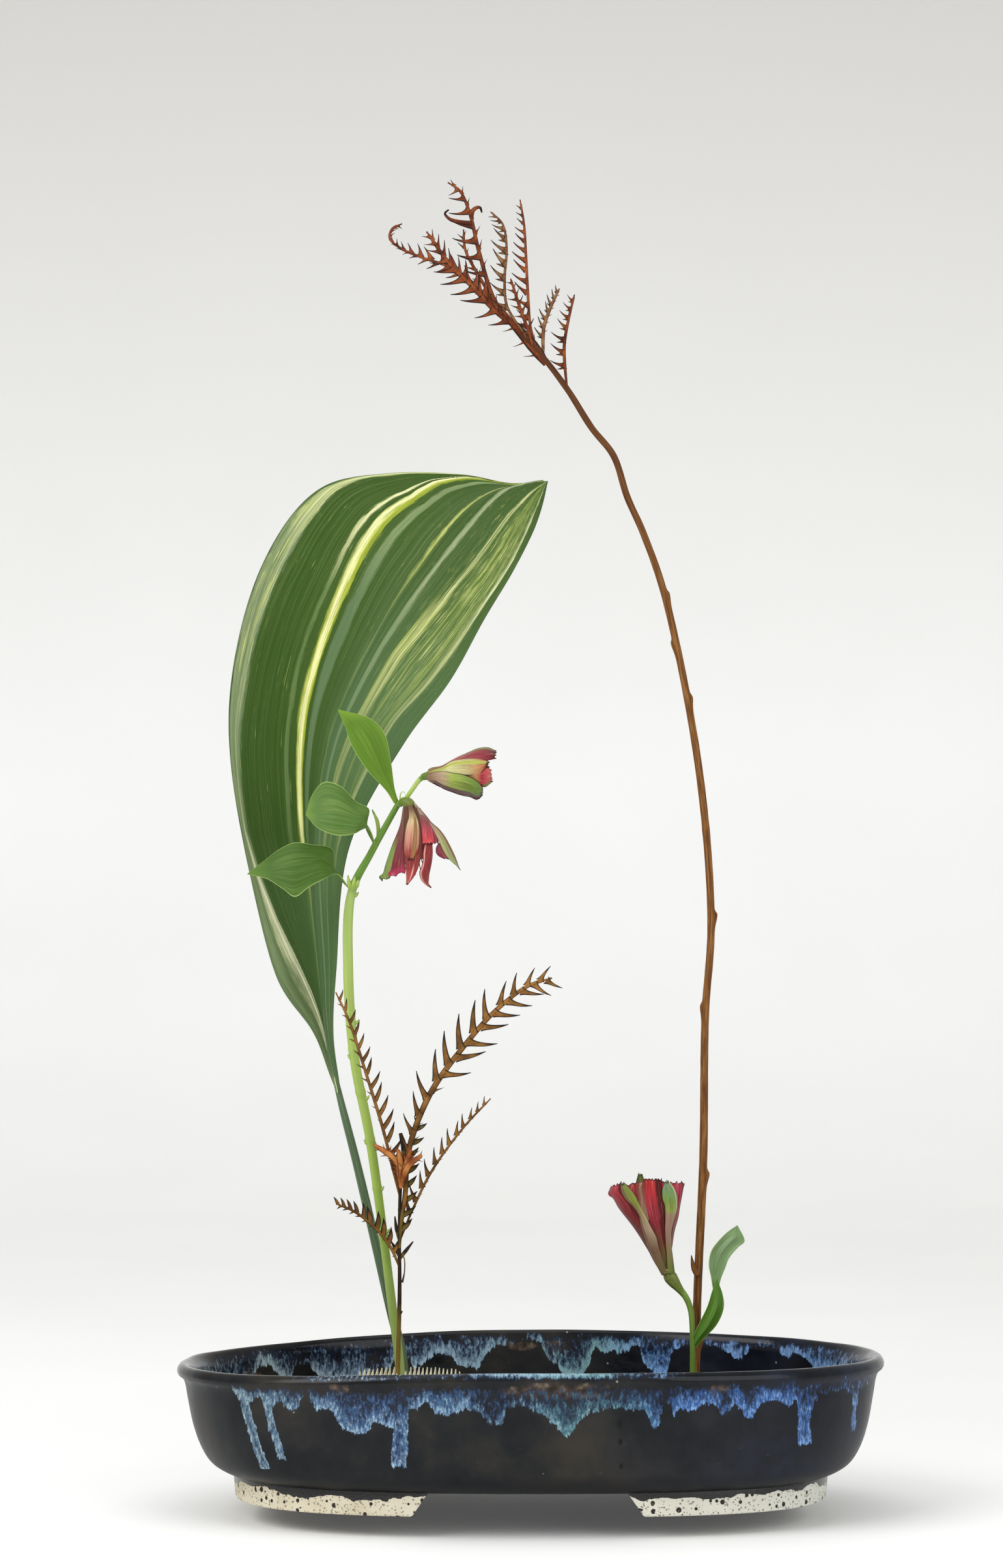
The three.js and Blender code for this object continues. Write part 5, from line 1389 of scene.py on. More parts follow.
# The dark red bands along the left and middle tepals are painted shade where they fold
UPRIGHT_TEPALS = {
    "left": (0.8, [(0.05, "#66603a"), (0.2, "#6b4634"), (0.45, "#8a2a30"), (0.7, "#b13640"),
        (0.95, "#b84046")], ("#66161b", 0.84, 0.14, 0.42),
        [(65.8, 107.4), (59.3, 119.1), (51.8, 131.1), (44.3, 140.8), (41.4, 145.7), (39.1, 147.6),
         (40.4, 151.9)],
        [(67.1, 107.4), (61.6, 119.7), (57, 131.1), (51.2, 141.8), (48.2, 146.3), (46, 150.2),
         (45.3, 154.1)]),
    "left_outer": (2, [(0.06, "#6d6038"), (0.2, "#7c5e46"), (0.42, "#b39b80"), (0.56, "#b3a072"),
        (0.68, "#87903a"), (0.95, "#7e8c46")], ("#8a6450", 0.14, 0.1, 0.1),
        [(65.8, 108.1), (61.9, 114.2), (58.6, 121), (56.7, 127.2), (55.1, 132.7), (54.1, 137.6),
         (50.9, 142.4), (47.3, 145.7), (45.3, 149.6), (45, 153.2)],
        [(68.4, 109.4), (66.1, 115.5), (64.2, 121.3), (63, 126.2), (60.2, 131.7), (57.5, 137.2),
         (54.4, 142.8), (52.5, 147), (49.6, 150.9), (46.6, 154.1)]),
    "left_fold": (1.5, [(0.1, "#a3826a"), (0.5, "#8a4a40"), (0.9, "#8b3a30")],
        ("#9c7a64", 0.5, 0.15, 0.1),
        [(55.4, 135.3), (54.1, 140.8), (53.5, 146.3), (52.2, 151.5), (52.8, 154.1)],
        [(59.3, 135.3), (57.7, 141.8), (57.1, 147), (56.8, 152.2), (57.1, 154.8)]),
    "middle": (1.2, [(0.05, "#5f5522"), (0.2, "#6b3d26"), (0.4, "#8f2a34"), (0.6, "#ae3442"),
        (0.95, "#b72a28")], ("#5b0b0d", 0.83, 0.19, 0.18),
        [(65.1, 112), (62.6, 124.6), (60, 132), (57.7, 138.5), (56.1, 145), (55.5, 151.5),
         (56.1, 156.1)],
        [(69.9, 109.6), (68.1, 121.3), (67.5, 129.5), (67.2, 135.9), (66.9, 142.4), (65.6, 148.9),
         (65.3, 155.8)]),
    "right_outer": (2, [(0.05, "#6d7a2e"), (0.18, "#8f7a50"), (0.3, "#a17c6c"), (0.52, "#a5866e"),
        (0.57, "#9aa84a"), (0.72, "#7f9e4a"), (0.95, "#719472")], ("#b9c08a", 0.93, 0.09, 0.55),
        [(68.4, 108.7), (68.1, 116.5), (67.5, 124.6), (67.2, 131.4), (67.2, 137.2), (66.9, 142.4),
         (65.6, 146.3), (65.6, 150.9), (67.2, 154.5)],
        [(72.3, 108.7), (71.3, 116.5), (70.4, 124.6), (70.7, 130.8), (72.7, 136.6), (73.7, 141.8),
         (73.4, 146.3), (71.8, 150.9), (68.5, 154.5)]),
    "right": (0.8, [(0.1, "#9a7468"), (0.45, "#a35a5c"), (0.7, "#b23a52"), (0.95, "#bb3c50")],
        ("#7a3a3c", 0.9, 0.1, 0.1),
        [(70.2, 121), (71.1, 131.1), (72.4, 137.2), (73.4, 142.4), (73, 147.6), (70.5, 151.5),
         (69, 153.8)],
        [(71, 121), (72.4, 130.1), (74, 135.9), (75, 141.8), (76, 147), (76.7, 150.6),
         (77.4, 153.5)]),
    "green_end": (-1, [(0.1, "#6b2a2a"), (0.5, "#6a6a34"), (0.9, "#5f7530")],
        ("#7c8a48", 0.5, 0.15, 0.4),
        [(55.4, 142.4), (53.5, 149.6), (53.8, 153.8), (54.8, 156.9)],
        [(60.7, 142.4), (58.4, 149.6), (57.7, 153.8), (56.6, 156.9)]),
    "far_left": (-0.6, [(0.1, "#6b4634"), (0.5, "#6d141a"), (0.95, "#a02832")],
        ("#7d4a30", 0.8, 0.1, 0.6),
        [(64.5, 113.2), (55.7, 126.2), (47.6, 137.6), (43, 145.7), (42.7, 150.9)],
        [(69.1, 113.2), (64.5, 126.2), (61.6, 137.6), (60, 145.7), (60.7, 153.8)]),
    "far_right": (-0.6, [(0.1, "#6b4634"), (0.5, "#6d141a"), (0.95, "#a02832")],
        ("#7d4a30", 0.2, 0.1, 0.6),
        [(65.8, 113.2), (63.2, 126.2), (61.6, 137.6), (61.3, 145.7), (62, 153.8)],
        [(71.7, 113.2), (70.4, 126.2), (73.1, 137.6), (74.4, 145.7), (75.1, 152.8)]),
}
UPRIGHT_BLOOM = {
    "axis": ((68, -12, 108), (57, -12, 154)), "radii": [3.4, 5.2, 9, 14.5, 18.4],
    "fullness": 0.7, "tepals": UPRIGHT_TEPALS,
    "neck": [(77.4, -12, 97), (74.4, -12, 100.7), (71.8, -12, 104), (69.9, -12, 106.8),
             (68.9, -12, 109)],
    "neck_radii": [1.5, 1.7, 2.2, 2.9, 3.3, 2.6],
}
SIDE_TEPALS = {
    "upper": (0.8, [(0.06, "#7a7440"), (0.25, "#8c6148"), (0.45, "#a05654"), (0.75, "#8c2c38"),
        (0.97, "#5d141c")], ("#7f8650", 0.06, 0.09, 0.5),
        [(-51.8, 362), (-49.6, 362.9), (-45, 363.6), (-40.7, 365.9), (-36.4, 368.2),
         (-31.4, 370.6), (-26.4, 372.6), (-21.1, 372.9), (-17.2, 370.9)],
        [(-51.6, 360.6), (-48.3, 361.3), (-44.3, 362.3), (-39.7, 363.9), (-35, 364.9),
         (-30.4, 365.6), (-25.8, 365.9), (-21.8, 365.6), (-17.8, 366.6)]),
    "cream": (1.6, [(0.06, "#8c7d4a"), (0.2, "#a5a05e"), (0.4, "#c9c98a"), (0.65, "#bdb27c"),
        (0.85, "#b0764e"), (0.98, "#9c5434")], ("#a3ad4c", 0.25, 0.12, 0.1),
        [(-51.8, 361.3), (-48.3, 361.9), (-44.3, 362.9), (-40, 365.6), (-35, 366.6),
         (-29.7, 366.9), (-25.1, 366.6), (-21.1, 364.9)],
        [(-51.8, 356.9), (-48.3, 358.3), (-44.3, 359.3), (-40, 359.3), (-35, 358.6),
         (-30.4, 358.3), (-25.8, 358.6), (-22.1, 362.9)]),
    "inside": (0.9, [(0.1, "#8a6a34"), (0.4, "#b07a50"), (0.6, "#a8283c"), (0.95, "#b25a54")],
        ("#6f7c4c", 0.94, 0.1, 0.7),
        [(-35, 360.9), (-30.4, 360.6), (-25.8, 361.3), (-22.1, 362.3), (-19.8, 360.6)],
        [(-32.7, 358.3), (-29.1, 356), (-25.8, 353.6), (-23.1, 352.3), (-19.1, 354.6)]),
    "lower": (2.2, [(0.06, "#8a6c58"), (0.28, "#b09a7c"), (0.42, "#93a64a"), (0.7, "#6f8a36"),
        (0.95, "#617c3e")], ("#5c4140", 0.9, 0.14, 0.1),
        [(-52.1, 359.3), (-48.3, 360.3), (-43.7, 360.6), (-39, 359.6), (-34, 358.6),
         (-29.7, 356.9), (-26.1, 354.6), (-23.8, 351.6)],
        [(-51.8, 356), (-48.3, 355), (-44, 352), (-39.7, 350.3), (-34.7, 348.6), (-30.4, 347.7),
         (-27.1, 346.3), (-24.4, 348.6)]),
    "far_upper": (-0.6, [(0.1, "#7a5f48"), (0.5, "#8c2c38"), (0.95, "#6b1a24")],
        ("#7f8650", 0.5, 0.12, 0.3),
        [(-50.9, 361.9), (-44.3, 363.3), (-36, 367.2), (-27.8, 370.6), (-21.1, 369.9)],
        [(-50.9, 357.9), (-44.3, 358.6), (-36, 359.3), (-27.8, 360.6), (-21.1, 363.3)]),
    "far_lower": (-0.6, [(0.1, "#7a5f48"), (0.5, "#8c2c38"), (0.95, "#6b1a24")],
        ("#7f8650", 0.5, 0.12, 0.3),
        [(-50.9, 359.3), (-44.3, 359.3), (-36, 359.3), (-29.4, 359.9), (-21.8, 361.3)],
        [(-50.9, 356), (-44.3, 352.6), (-37.7, 350.6), (-30.4, 350), (-23.1, 354)]),
}
SIDE_BLOOM = {
    "axis": ((-51.6, -1, 359), (-21, -6, 359.4)), "radii": [3.9, 6.5, 9.6, 11.6, 12.2],
    "fullness": 0.8, "tepals": SIDE_TEPALS,
    "neck": [(-55.2, -0.4, 358.2), (-53.3, -0.6, 358.7), (-51.6, -1, 358.9), (-48, -1.6, 359)],
    "neck_radii": [1.4, 1.8, 2, 3.3, 3.5, 2.5],
}
BLOOMS = {"hanging_bloom": HANGING_BLOOM, "upright_bloom": UPRIGHT_BLOOM,
          "side_bloom": SIDE_BLOOM}
neck_skin = stem_material("ribbed_receptacle_skin", "#4a5424", (0, "#5f7a2c"),
                          (1, "#7a7c40"))
anther_skin = stem_material("anther_skin", "#7a3a20", (0, "#a5503c"), (1, "#b8702f"))
for name, bloom in BLOOMS.items():
    neck = tube(bloom["neck"], bloom["neck_radii"], 30, 24,
                lambda turn, share: 1 + 0.05 * np.cos(12 * np.pi * turn))
    settle(neck, f"{name}_receptacle", neck_skin, [name])
    for seed, (part, (layer, tones, band, left, right)) in enumerate(bloom["tepals"].items()):
        skin = tepal_skin(f"{name}_{part}_skin", tones, *band)
        piece = tepal(bloom, seed, layer, left, right)
        settle(piece, f"{name}_{part}", skin, smooth_deg=70)
    settle(stamens(bloom, 5), f"{name}_stamens", anther_skin)

# %% [markdown]
# The tall branch is a thin woody shoot. Its bark is smooth and brown with fine lengthwise
# cracks. A low bump or a pointed bud marks each place where a leaf once sat.

# %% Tall branch
BRANCH = [(83, -5, 37.9), (83, -5, 58), (84, -6, 97), (87, -9, 165), (88, -13, 237),
          (91, -15, 284), (85, -19, 361), (68, -24, 448), (57, -26, 480), (49, -27, 498),
          (42, -28, 519), (31, -29, 533), (19, -30, 552), (7, -31, 568), (-4, -33, 580)]
BRANCH_RADII = [2.2, 2.1, 2.1, 2, 1.9, 1.9, 1.9, 1.8, 1.8, 1.7, 1.6, 1.3]
# Height of each leaf scar, its turn round the branch in shares from the left, and its size
LEAF_SCARS = [(75, 0.5, 0.8), (158, 0.5, 0.65), (203, 0.25, 0.6), (242, 0.0, 0.55),
              (288, 0.5, 0.75), (331, 0.25, 0.7), (397, 0.5, 0.6), (425, 0.0, 0.55),
              (449, 0.5, 0.55)]
# Lengths in mm of the branch, of the swelling under a scar and of the lip above it
BRANCH_LENGTH = 600
SCAR_BELOW = 5
SCAR_LIP = 1.6
BARK_RIDGES = 7
BARK_RIDGE = 0.03
BARK_RIPPLE = 0.02
BRANCH_BUD = [(84, -8, 107), (82, -8, 111), (80.8, -8, 117)]
branch_line = even_curve(BRANCH, 2000)
branch_reach = np.linspace(0, 1, 2000)


def scarred(turn, share):
    """Bark swollen under each leaf scar, with a sharp upper lip, and faintly ridged."""
    swollen = 1 + BARK_RIDGE * np.cos(2 * np.pi * BARK_RIDGES * turn + 9 * share)
    for height, scar_turn, size in LEAF_SCARS:
        scar = np.interp(height, branch_line[:, 2], branch_reach)
        away = (share - scar) * BRANCH_LENGTH
        lengthwise = np.exp(-((away / np.where(away < 0, SCAR_BELOW, SCAR_LIP)) ** 2))
        aside = np.cos(2 * np.pi * (turn - scar_turn))
        swollen = swollen + size * lengthwise * np.clip(aside, 0, 1) ** 2
    return swollen + BARK_RIPPLE * ripple(4, 160 * share)


branch = join([
    tube(BRANCH, BRANCH_RADII, 26, 460, scarred),
    tube(BRANCH_BUD, [1.6, 1.5, 0.9, 0.2], 12, 16),
])


def bark_material(name, dark, middle, pale, fibre, end_tone, end_from, end_to):
    """Bark with lengthwise fibres, about 0.5 mm apart, that changes its tone towards one end."""
    material, add, feed = new_material(name, Roughness=0.7, IOR=1.45, Specular_IOR_Level=0.25)
    uv, place = located(add, "UV")
    lines = stretched_noise(add, uv, fibre, Detail=6, Roughness=0.65)
    tone = add("ValToRGB", {"Fac": lines}, stops=[(0.32, dark), (0.5, middle), (0.68, pale)])
    colour = painted(add, tone, end_tone, place["Y"], end_from, end_to, 0.75)
    cracks = add("Bump", {"Height": lines, "Strength": 0.5, "Distance": 0.0006})
    feed(Base_Color=colour, Normal=cracks)
    return material


bark = bark_material("smooth_brown_bark", "#3f220d", "#74491f", "#9c7040", (13, 30, 0),
                     "#4a2612", 0.7, 0.92)
settle(branch, "branch", bark, ["tall_branch"])

# %% [markdown]
# A dried frond is a flat midrib with pointed teeth on alternate sides. Each tooth is a copy of
# one small grid, bent to its own curve: broad at its base, curving towards the frond's tip. Its
# UV map runs across and along each tooth, so the material can darken edges and tips.

# %% Frond builder
MIDRIB_WIDTHS = [0.55, 0.9, 1, 0.9, 0.75, 0.45]
MIDRIB_RIDGE = 0.35
FROND_THICKNESS = 0.5
SHORTEST_TOOTH = 0.8
SHORTEST_LOBED = 3
LAST_TOOTH = 0.985
TOOTH_VARIETY = 0.12
LEAN_VARIETY_DEG = 7
LOBE_LEAN_DEG = 42
LOBE_BREADTH = 0.3
LOBE_BELOW = 0.6
# A tooth's root in shares of the rib's half width, how much wider than its tip it leaves the
# rib, where it bends, the half width of its point in shares of its length, and its hollow
TOOTH_ROOT = 0.4
TOOTH_SPREAD = 1.3
TOOTH_BEND = 0.5
TOOTH_POINT = 0.01
TOOTH_HOLLOW = 0.25


def flat_sheet(u, v):
    return np.stack([u, v, np.zeros_like(u)], 1)


def bent_copy(template, place):
    """A copy with its own mesh, its vertices moved from (u, v) in the template to place(u, v)."""
    copy = new_object("copy", template.data.copy())
    vertices = copy.data.vertices
    flat = np.empty(3 * len(vertices))
    vertices.foreach_get("co", flat)
    u, v = flat.reshape(-1, 3)[:, :2].T / MM
    vertices.foreach_set("co", (place(u, v) * MM).ravel())
    return copy


tooth_template = shaped_grid(4, 9, flat_sheet)
rib_template = shaped_grid(4, 90, flat_sheet)
rib_u, rib_v = read_uv(rib_template)
write_uv(rib_template, rib_u, 0.5 * rib_v)


def bezier(a, b, c, share):
    share = share[:, None]
    return a * (1 - share) ** 2 + 2 * b * share * (1 - share) + c * share**2


def frond(path, width, spacing, stalk, left, right, lean, seed, facing=(0.15, -1, 0.1),
          lobe=0, flare=0.8, breadth=0.115, is_lanceolate=False):
    """A midrib with teeth on alternate sides. A lobe is a short broad second point below each.

    Teeth are broadest at the base, or lance-shaped: broadest about a third of the way along.
    """
    line = even_curve(path, 400)
    reach = reach_along(line)
    length = reach[-1]
    growth_all = unit(np.gradient(line, axis=0))
    facing = np.array(facing, float)

    def frame_at(distance):
        growth = unit(points_at(distance, reach, growth_all))
        normal = unit(facing - growth * (growth * facing).sum(-1, keepdims=True))
        return points_at(distance, reach, line), growth, np.cross(normal, growth), normal

    def rib_place(u, v):
        centre, _, side, normal = frame_at(v * length)
        half = width / 2 * stations(MIDRIB_WIDTHS, v) * np.where(v > 0.97, 0.4, 1)
        across = 2 * u - 1
        ridge = MIDRIB_RIDGE * (1 - abs(across))
        return centre + side * (across * half)[:, None] + normal * ridge[:, None]

    def tooth(at, sign, size, degrees, breadth):
        centre, growth, side, normal = frame_at(at)
        angle = math.radians(degrees)
        rib_half = width / 2 * stations(MIDRIB_WIDTHS, at / length)
        root = centre + side * sign * rib_half * TOOTH_ROOT
        outward, first_way = (side * sign * math.sin(turn) + growth * math.cos(turn)
                              for turn in (angle, angle * TOOTH_SPREAD))
        tip = root + outward * (size + rib_half)
        bend = root + first_way * size * TOOTH_BEND

        def place(u, v):
            middle = bezier(root, bend, tip, v)
            swelling = np.sin(np.pi * np.minimum(0.2 + 0.8 * v, 1)) ** 1.2
            taper = swelling if is_lanceolate else 1 - v
            half = size * (breadth * taper + TOOTH_POINT) + flare * (1 - v) ** 5
            direction = unit(2 * (1 - v)[:, None] * (bend - root) + 2 * v[:, None] * (tip - bend))
            across = np.cross(normal, direction) * sign
            edge = (2 * u - 1) * half
            cup = TOOTH_HOLLOW * edge**2 / (half + 0.2)
            return middle + across * edge[:, None] + normal * cup[:, None]

        return bent_copy(tooth_template, place)

    parts = [bent_copy(rib_template, rib_place)]
    at, step = stalk, 0
    while at < length * LAST_TOOTH:
        sign = 1 if step % 2 == 0 else -1
        share = (at - stalk) / (length - stalk)
        size = stations(left if sign == 1 else right, share)
        size = size * (1 + TOOTH_VARIETY * math.sin(12.9898 * seed + 78.233 * (step + 1)))
        turned = LEAN_VARIETY_DEG * math.sin(31 * seed + 17 * step)
        degrees = lean[0 if sign == 1 else 1] + turned
        if size > SHORTEST_TOOTH:
            parts.append(tooth(at, sign, size, degrees, breadth))
            if lobe and size > SHORTEST_LOBED:
                leaning = degrees + LOBE_LEAN_DEG
                lobe_at = at - LOBE_BELOW
                parts.append(tooth(lobe_at, sign, size * lobe, leaning, LOBE_BREADTH))
        at += stations(spacing, share) / 2
        step += 1
    piece = join(parts)
    apply_modifier(piece, "SOLIDIFY", thickness=FROND_THICKNESS * MM, offset=0)
    return piece


# %% Dried frond material
def dried_material(name, deep, middle, pale, edge):
    """Dry leathery frond, darkest along its edges and at the tips of its teeth."""
    material, add, feed = new_material(name, Roughness=0.62, IOR=1.45, Specular_IOR_Level=0.25)
    coords = add("TexCoord").outputs
    place = add("SeparateXYZ", {"Vector": coords["UV"]}).outputs
    blotch = add("TexNoise", {"Vector": coords["Object"], "Scale": 140, "Detail": 5})
    tone = add("ValToRGB", {"Fac": blotch}, stops=[(0.35, deep), (0.5, middle), (0.66, pale)])
    side = distance_from(add, place["X"])
    margin = add("MapRange", {"Value": side, "From Min": 0.3, "From Max": 0.43})
    tips = add("MapRange", {"Value": place["Y"], "From Min": 0.51, "From Max": 0.8})
    dark = add("Math", {0: margin, 1: tips}, operation="MAXIMUM")
    colour = add("Mix", {0: dark, 6: tone, 7: edge})
    wrinkles = add("Bump", {"Height": blotch, "Strength": 0.4, "Distance": 0.0006})
    feed(Base_Color=colour, Normal=wrinkles)
    return material


rust_frond = dried_material("rusty_dried_frond", "#4d220d", "#783716", "#965025", "#140905")
tan_frond = dried_material("tan_dried_frond", "#4f3018", "#7c5230", "#9a7044", "#170f09")
ochre_frond = dried_material("ochre_dried_frond", "#5c3c18", "#7e5524", "#9c6d33", "#180f07")

# %% Fronds of the tall branch
TALL_FRONDS = [
    dict(path=[(-2.4, -32.5, 578), (-5.5, -29, 582.5), (-12, -26, 589), (-22, -25, 601),
               (-38, -23, 615), (-55, -20, 622), (-66, -19, 627), (-71.5, -20, 632),
               (-70, -22, 636.5), (-65, -24, 638.5)],
         width=1.5, spacing=[7, 6.8, 6.2, 3.8, 1.8], stalk=30, left=[5.5, 6, 5, 1.2, 0],
         right=[8.5, 9.5, 8, 3, 2.6], lean=[52, 50], flare=1, breadth=0.14),
    dict(path=[(-4.5, -33.2, 580.6), (-18, -38, 591), (-29, -43, 602), (-40, -47, 612),
               (-52, -52, 628)],
         width=2.6, spacing=[8.2, 7.6, 6.8, 5.4, 3.2], stalk=10, left=[9, 10, 10, 7, 3],
         right=[6, 8.5, 8.5, 6.5, 2.6], lean=[56, 40], flare=1, breadth=0.11),
    dict(path=[(-0.8, -32.2, 576.1), (-3, -27, 581), (-10, -21, 589), (-18, -19, 600),
               (-26, -15, 626), (-31, -14, 647), (-36, -14, 658), (-42, -15, 662)],
         width=2.1, spacing=[12, 10, 8.4, 7.4, 4], stalk=27, left=[4, 9, 10, 9, 4],
         right=[0, 1.5, 5, 3.4, 2.6], lean=[72, 40], flare=1.2, breadth=0.11),
    dict(path=[(0.6, -32, 574.5), (-1, -26, 580), (-8, -17, 589), (-18, -13, 601),
               (-27, -11, 616), (-33, -10, 628), (-34, -9, 639)],
         width=1.7, spacing=[10, 8, 6, 4], stalk=34, left=[3, 4, 4, 2.5],
         right=[3, 3.5, 3, 2], lean=[50, 40]),
    dict(path=[(-1.4, -32.3, 576.8), (-4, -36, 581), (-8, -39, 586), (-12, -42, 593),
               (-13, -45, 605), (-12, -48, 621), (-14, -51, 632), (-20, -52, 638)],
         width=1.2, spacing=[7.4, 7.2, 6.4, 5, 2.2], stalk=21, left=[8.5, 9.5, 9, 6, 2],
         right=[0, 0, 0, 0.9], lean=[50, 45], lobe=0.44),
    dict(path=[(2.5, -31.6, 572.1), (2, -28, 577), (0, -26, 586), (-1, -25, 599),
               (-2, -22, 620), (-3, -18, 639), (-5, -15, 653)],
         width=1.3, spacing=[6.6, 6.4, 5.4, 5, 3.4], stalk=13, left=[7.5, 8.5, 7, 5, 2.2],
         right=[0, 0], lean=[52, 45], flare=1),
    dict(path=[(1.2, -31.9, 573.7), (0, -36, 577.5), (-2.5, -41, 584), (-5, -45, 590),
               (-10, -53, 604)],
         width=1.6, spacing=[4.8, 4.6, 4.2], stalk=9, left=[4, 4.5, 4.5, 2],
         right=[4.5, 4.5, 3, 1.5], lean=[58, 48]),
    dict(path=[(6.2, -31, 567.8), (6.5, -27.5, 573), (6.5, -24, 579), (7, -21, 586),
               (10, -15, 596), (15, -10, 608)],
         width=1.7, spacing=[6, 5.4, 4.4, 3.4], stalk=15, left=[6, 6.8, 6, 3],
         right=[1.4, 1.4, 1.2, 1], lean=[38, 45], lobe=0.3),
    dict(path=[(18.5, -29.9, 553), (17.5, -34, 562), (17, -39, 573), (19, -44, 585),
               (22, -48, 597)],
         width=1.5, spacing=[6.8, 6.4, 4.6, 3.6], stalk=12, left=[7, 8, 6, 3], right=[0, 0],
         lean=[60, 45], lobe=0.45),
]
# The fronds grow from a broad flat crown at the branch's end, with two teeth on its left
CROWN = dict(path=[(8.2, -31, 565), (2.5, -32, 572.5), (-4, -33, 580), (-11, -36, 587)],
             width=6, spacing=[9, 9], stalk=7, left=[4.5, 4.5, 4], right=[2.5, 2.5],
             lean=[70, 40], flare=1.2)
CURLED_TEETH = [
    [(-30.5, -14, 641), (-36, -15, 641.5), (-41, -15.5, 643), (-43.4, -15, 646),
     (-41.5, -14.5, 648)],
    [(-31, -14, 645), (-28, -15, 648.5), (-25.5, -15, 649), (-24.5, -14.5, 646.5)],
]
for order, details in enumerate(TALL_FRONDS, 1):
    piece = frond(**details, seed=order)
    if order == 3:
        piece = join([piece] + [tube(path, [1.4, 1, 0.4], 8, 24) for path in CURLED_TEETH])
    material = tan_frond if order in (5, 8) else rust_frond
    settle(piece, f"frond_{order}", material, [f"tall_frond_{order}"])
settle(frond(**CROWN, seed=3), "frond_crown", rust_frond)

# %% [markdown]
# The short spray has a thin dark stem that ends in a bud, a few twigs, and four ochre fronds.

# %% Short spray
SPRAY_STEM = [(-68, 44, 37.9), (-68, 44, 54), (-67, 38, 96), (-67, 32, 127), (-66, 26, 157),
              (-65, 24, 165)]
SPRAY_RADII = [1.4, 1.2, 1.15, 1, 0.9, 0.9, 1]
SPRAY_TWIGS = [[(-67.2, 36, 112), (-64, 35.5, 116), (-60, 35, 121)],
               [(-67.4, 40, 84), (-65.6, 39.6, 85)],
               [(-67.4, 36, 114), (-69, 36, 117), (-71.3, 35.5, 121)],
               [(-67, 35, 122), (-68.6, 34, 128), (-69.4, 33.5, 134)]]
SPRAY_THREAD = [(-66.8, 35, 115), (-64.8, 35, 113), (-64.4, 36, 106), (-65.6, 36, 100)]
SPRAY_BUD = [(-64.6, 24, 163), (-64.6, 23.5, 170), (-66.3, 23, 177)]
spray_stem = join([tube(SPRAY_STEM, SPRAY_RADII, 14, 120),
                   tube(SPRAY_THREAD, [0.35, 0.3, 0.3, 0.6], 6, 24),
                   tube(SPRAY_BUD, [1.2, 1.5, 1.5, 0.9], 12, 20)]
                  + [tube(path, [1, 1, 0.35], 8, 16) for path in SPRAY_TWIGS])
spray_bark = bark_material("dark_spray_bark", "#17120e", "#33261a", "#5a4630", (9, 16, 0),
                           "#8a7430", 0.4, 0.32)
settle(spray_stem, "spray_stem_fine", spray_bark, ["spray_stem"])
SPRAY_FRONDS = [
    dict(path=[(-67, 32.2, 128), (-64, 26, 143), (-62, 19, 168), (-51, 11, 197), (-34, 5, 221),
               (-17, -2, 240), (-1, -7, 252), (11, -10, 256)],
         width=3, spacing=[8, 10, 10.5, 10.5, 9, 5.6], stalk=36, lean=[42, 46],
         left=[4, 11, 13, 14, 15, 13.5, 11, 8], right=[5, 2, 0, 17, 15, 12, 10, 8],
         is_lanceolate=True, breadth=0.066, flare=1.9),
    dict(path=[(-66.6, 29, 144), (-70, 24, 158), (-75, 18, 179), (-84, 12, 209), (-92, 9, 234),
               (-99, 8, 249)],
         width=1.5, spacing=[7.4, 7.4, 7, 6], stalk=20, left=[0, 1.5, 3, 3, 2],
         right=[9, 9.5, 9.5, 7, 4], lean=[45, 40], is_lanceolate=True, breadth=0.09),
    dict(path=[(-67, 33.6, 121), (-60, 29, 138), (-50, 23, 158), (-34, 14, 180), (-20, 9, 195)],
         width=1.1, spacing=[8, 7.4, 6, 4.6], stalk=8, left=[10, 10, 8, 6, 4.4],
         right=[0, 1.2, 1.2, 1.2, 0], lean=[40, 40], breadth=0.13),
    dict(path=[(-67, 35.6, 108), (-72, 33, 119), (-80, 29, 129), (-90, 25, 137), (-99, 22, 141)],
         width=1.5, spacing=[5.4, 5, 4.2, 3.2], stalk=6, left=[1, 1, 2, 2, 2],
         right=[7, 7.5, 7.5, 6, 4.5], lean=[48, 44], is_lanceolate=True, breadth=0.15),
]
# Olive lobes low on the first frond, and the crinkled bracts that sheathe the stem's end
OLIVE_LOBES = dict(path=[(-67, 33, 118), (-66, 30, 130), (-64, 26, 146), (-62, 19, 168),
                         (-57, 15, 184)],
                   width=2.2, spacing=[7.8, 7.8, 7.8, 7.8], stalk=6, left=[0, 0, 0, 3.4],
                   right=[7, 8, 7.5, 6.5, 5], lean=[40, 44], is_lanceolate=True, breadth=0.17)
BRACTS = [
    [(-65.8, 23, 149), (-68, 21.5, 160), (-72.6, 21, 169.5)],
    [(-66, 22.5, 151), (-68.5, 20.5, 163), (-74.5, 20, 168), (-80, 20.5, 171)],
    [(-65.6, 22.5, 151), (-66, 20, 162), (-67.5, 19.5, 169)],
    [(-65.4, 22.5, 151), (-63, 19, 162), (-60.6, 18, 169)],
    [(-65.4, 22, 152), (-62, 18.5, 160.5), (-55, 18, 166)],
]
BRACT_SHAPE = dict(width=3.6, spacing=[5, 5], stalk=8, left=[2.2, 2.6, 1.6],
                   right=[2, 2.4, 1.6], lean=[40, 45], breadth=0.2)
for order, details in enumerate(SPRAY_FRONDS, 1):
    details = {"flare": 0.7, **details}
    piece = frond(**details, seed=order + 20, facing=(0, -1, 0.2))
    settle(piece, f"ochre_frond_{order}", ochre_frond, [f"spray_frond_{order}"])
olive_frond = dried_material("olive_dried_frond", "#4a3f18", "#6b5a24", "#87692e", "#1c160a")
lobes = frond(**OLIVE_LOBES, seed=31, facing=(0, -1, 0.2))
settle(lobes, "olive_lobes", olive_frond)
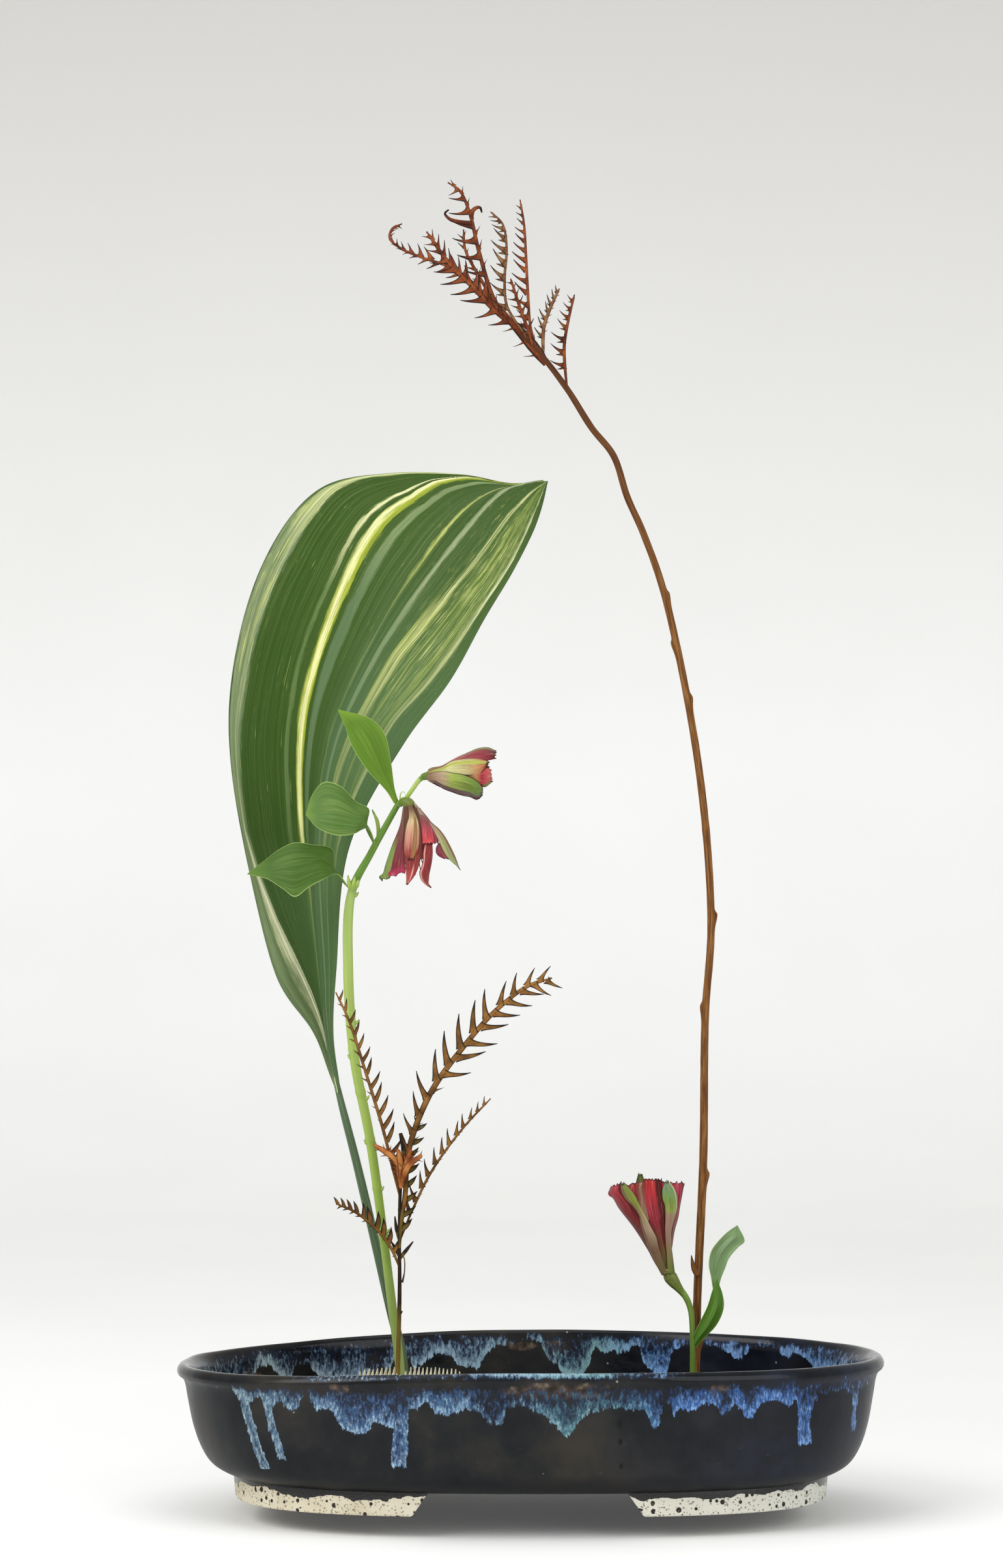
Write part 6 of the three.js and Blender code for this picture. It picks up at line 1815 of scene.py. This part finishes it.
bracts = join([frond(path, seed=40 + order, facing=(0, -1, 0.2), **BRACT_SHAPE)
               for order, path in enumerate(BRACTS)])
bract_skin = dried_material("orange_dried_bract", "#7a4018", "#a8622e", "#c58446", "#5a2c12")
settle(bracts, "spray_bracts", bract_skin)
for template in (tooth_template, rib_template):
    bpy.data.objects.remove(template)

# %% [markdown]
# The stage is a pale floor that sweeps up into a pale wall far behind, so no hard line crosses
# the picture. It isn't part of the object.

# %% Floor and backdrop
STAGE_SWEEP = [(-3500, 0), (1900, 0), (2700, 40), (3200, 250), (3450, 700), (3550, 3800)]
STAGE_WIDTH = 9000


def stage_place(u, v):
    y, z = curve_through([(0, *knot) for knot in STAGE_SWEEP], v)[:, 1:].T
    return np.stack([STAGE_WIDTH * (u - 0.5), y, z], 1)


stage = shaped_grid(4, 60, stage_place)
paper, add, feed = new_material("matt_white_paper", Roughness=0.9, Emission_Color="#ffffff")
where, place = located(add, "Object")
grain = add("TexNoise", {"Vector": where, "Scale": 4, "Detail": 2})
near_colour = add("ValToRGB", {"Fac": grain}, stops=[(0.3, "#f3f4f3"), (0.7, "#f6f7f6")])
# Painted shade: the backdrop is painted greyer as it rises up the wall
paper_colour = painted(add, near_colour, "#cdcbc7", place["Z"], 0.6, 1.9)
# The far wall gets less light than the floor under the panels, so it glows a little
glow = add("MapRange", {"Value": place["Y"], "From Min": 0.5, "From Max": 3.2, "To Min": 0.06,
                        "To Max": 0.19})
feed(Base_Color=paper_colour, Emission_Strength=glow)
stage.data.materials.append(paper)
select_only(stage)
bpy.ops.object.shade_smooth()
stage.name = "paper_sweep"
stage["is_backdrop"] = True

# %% [markdown]
# Soft light comes from a large panel above left, a weaker one on the right and a pale world.
# The panels are broad, so the shadows are faint and the glaze shows long soft highlights.

# %% Lights
LIGHTS = [  # name, place in mm, width, height, watts
    ("key_panel", (-1500, -1300, 1500), 1.6, 1.2, 26),
    ("fill_panel", (1500, -1500, 900), 1.6, 1.2, 12),
    ("top_panel", (-200, -500, 2200), 2.4, 1.6, 18),
]
for name, spot, width, height, watts in LIGHTS:
    panel = bpy.data.lights.new(name, "AREA")
    panel.shape = "RECTANGLE"
    panel.size, panel.size_y, panel.energy = width, height, watts
    lamp = new_object(name, panel)
    lamp.location = Vector(spot) * MM
    aim = Vector((0, 0, 200)) * MM - lamp.location
    lamp.rotation_euler = aim.to_track_quat("-Z", "Y").to_euler()
world = bpy.data.worlds.new("pale_room")
world.use_nodes = True
world.node_tree.nodes["Background"].inputs["Color"].default_value = linear("#f4f3f1")
world.node_tree.nodes["Background"].inputs["Strength"].default_value = 0.62
bpy.context.scene.world = world

# %% Sizes and end
low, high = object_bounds()
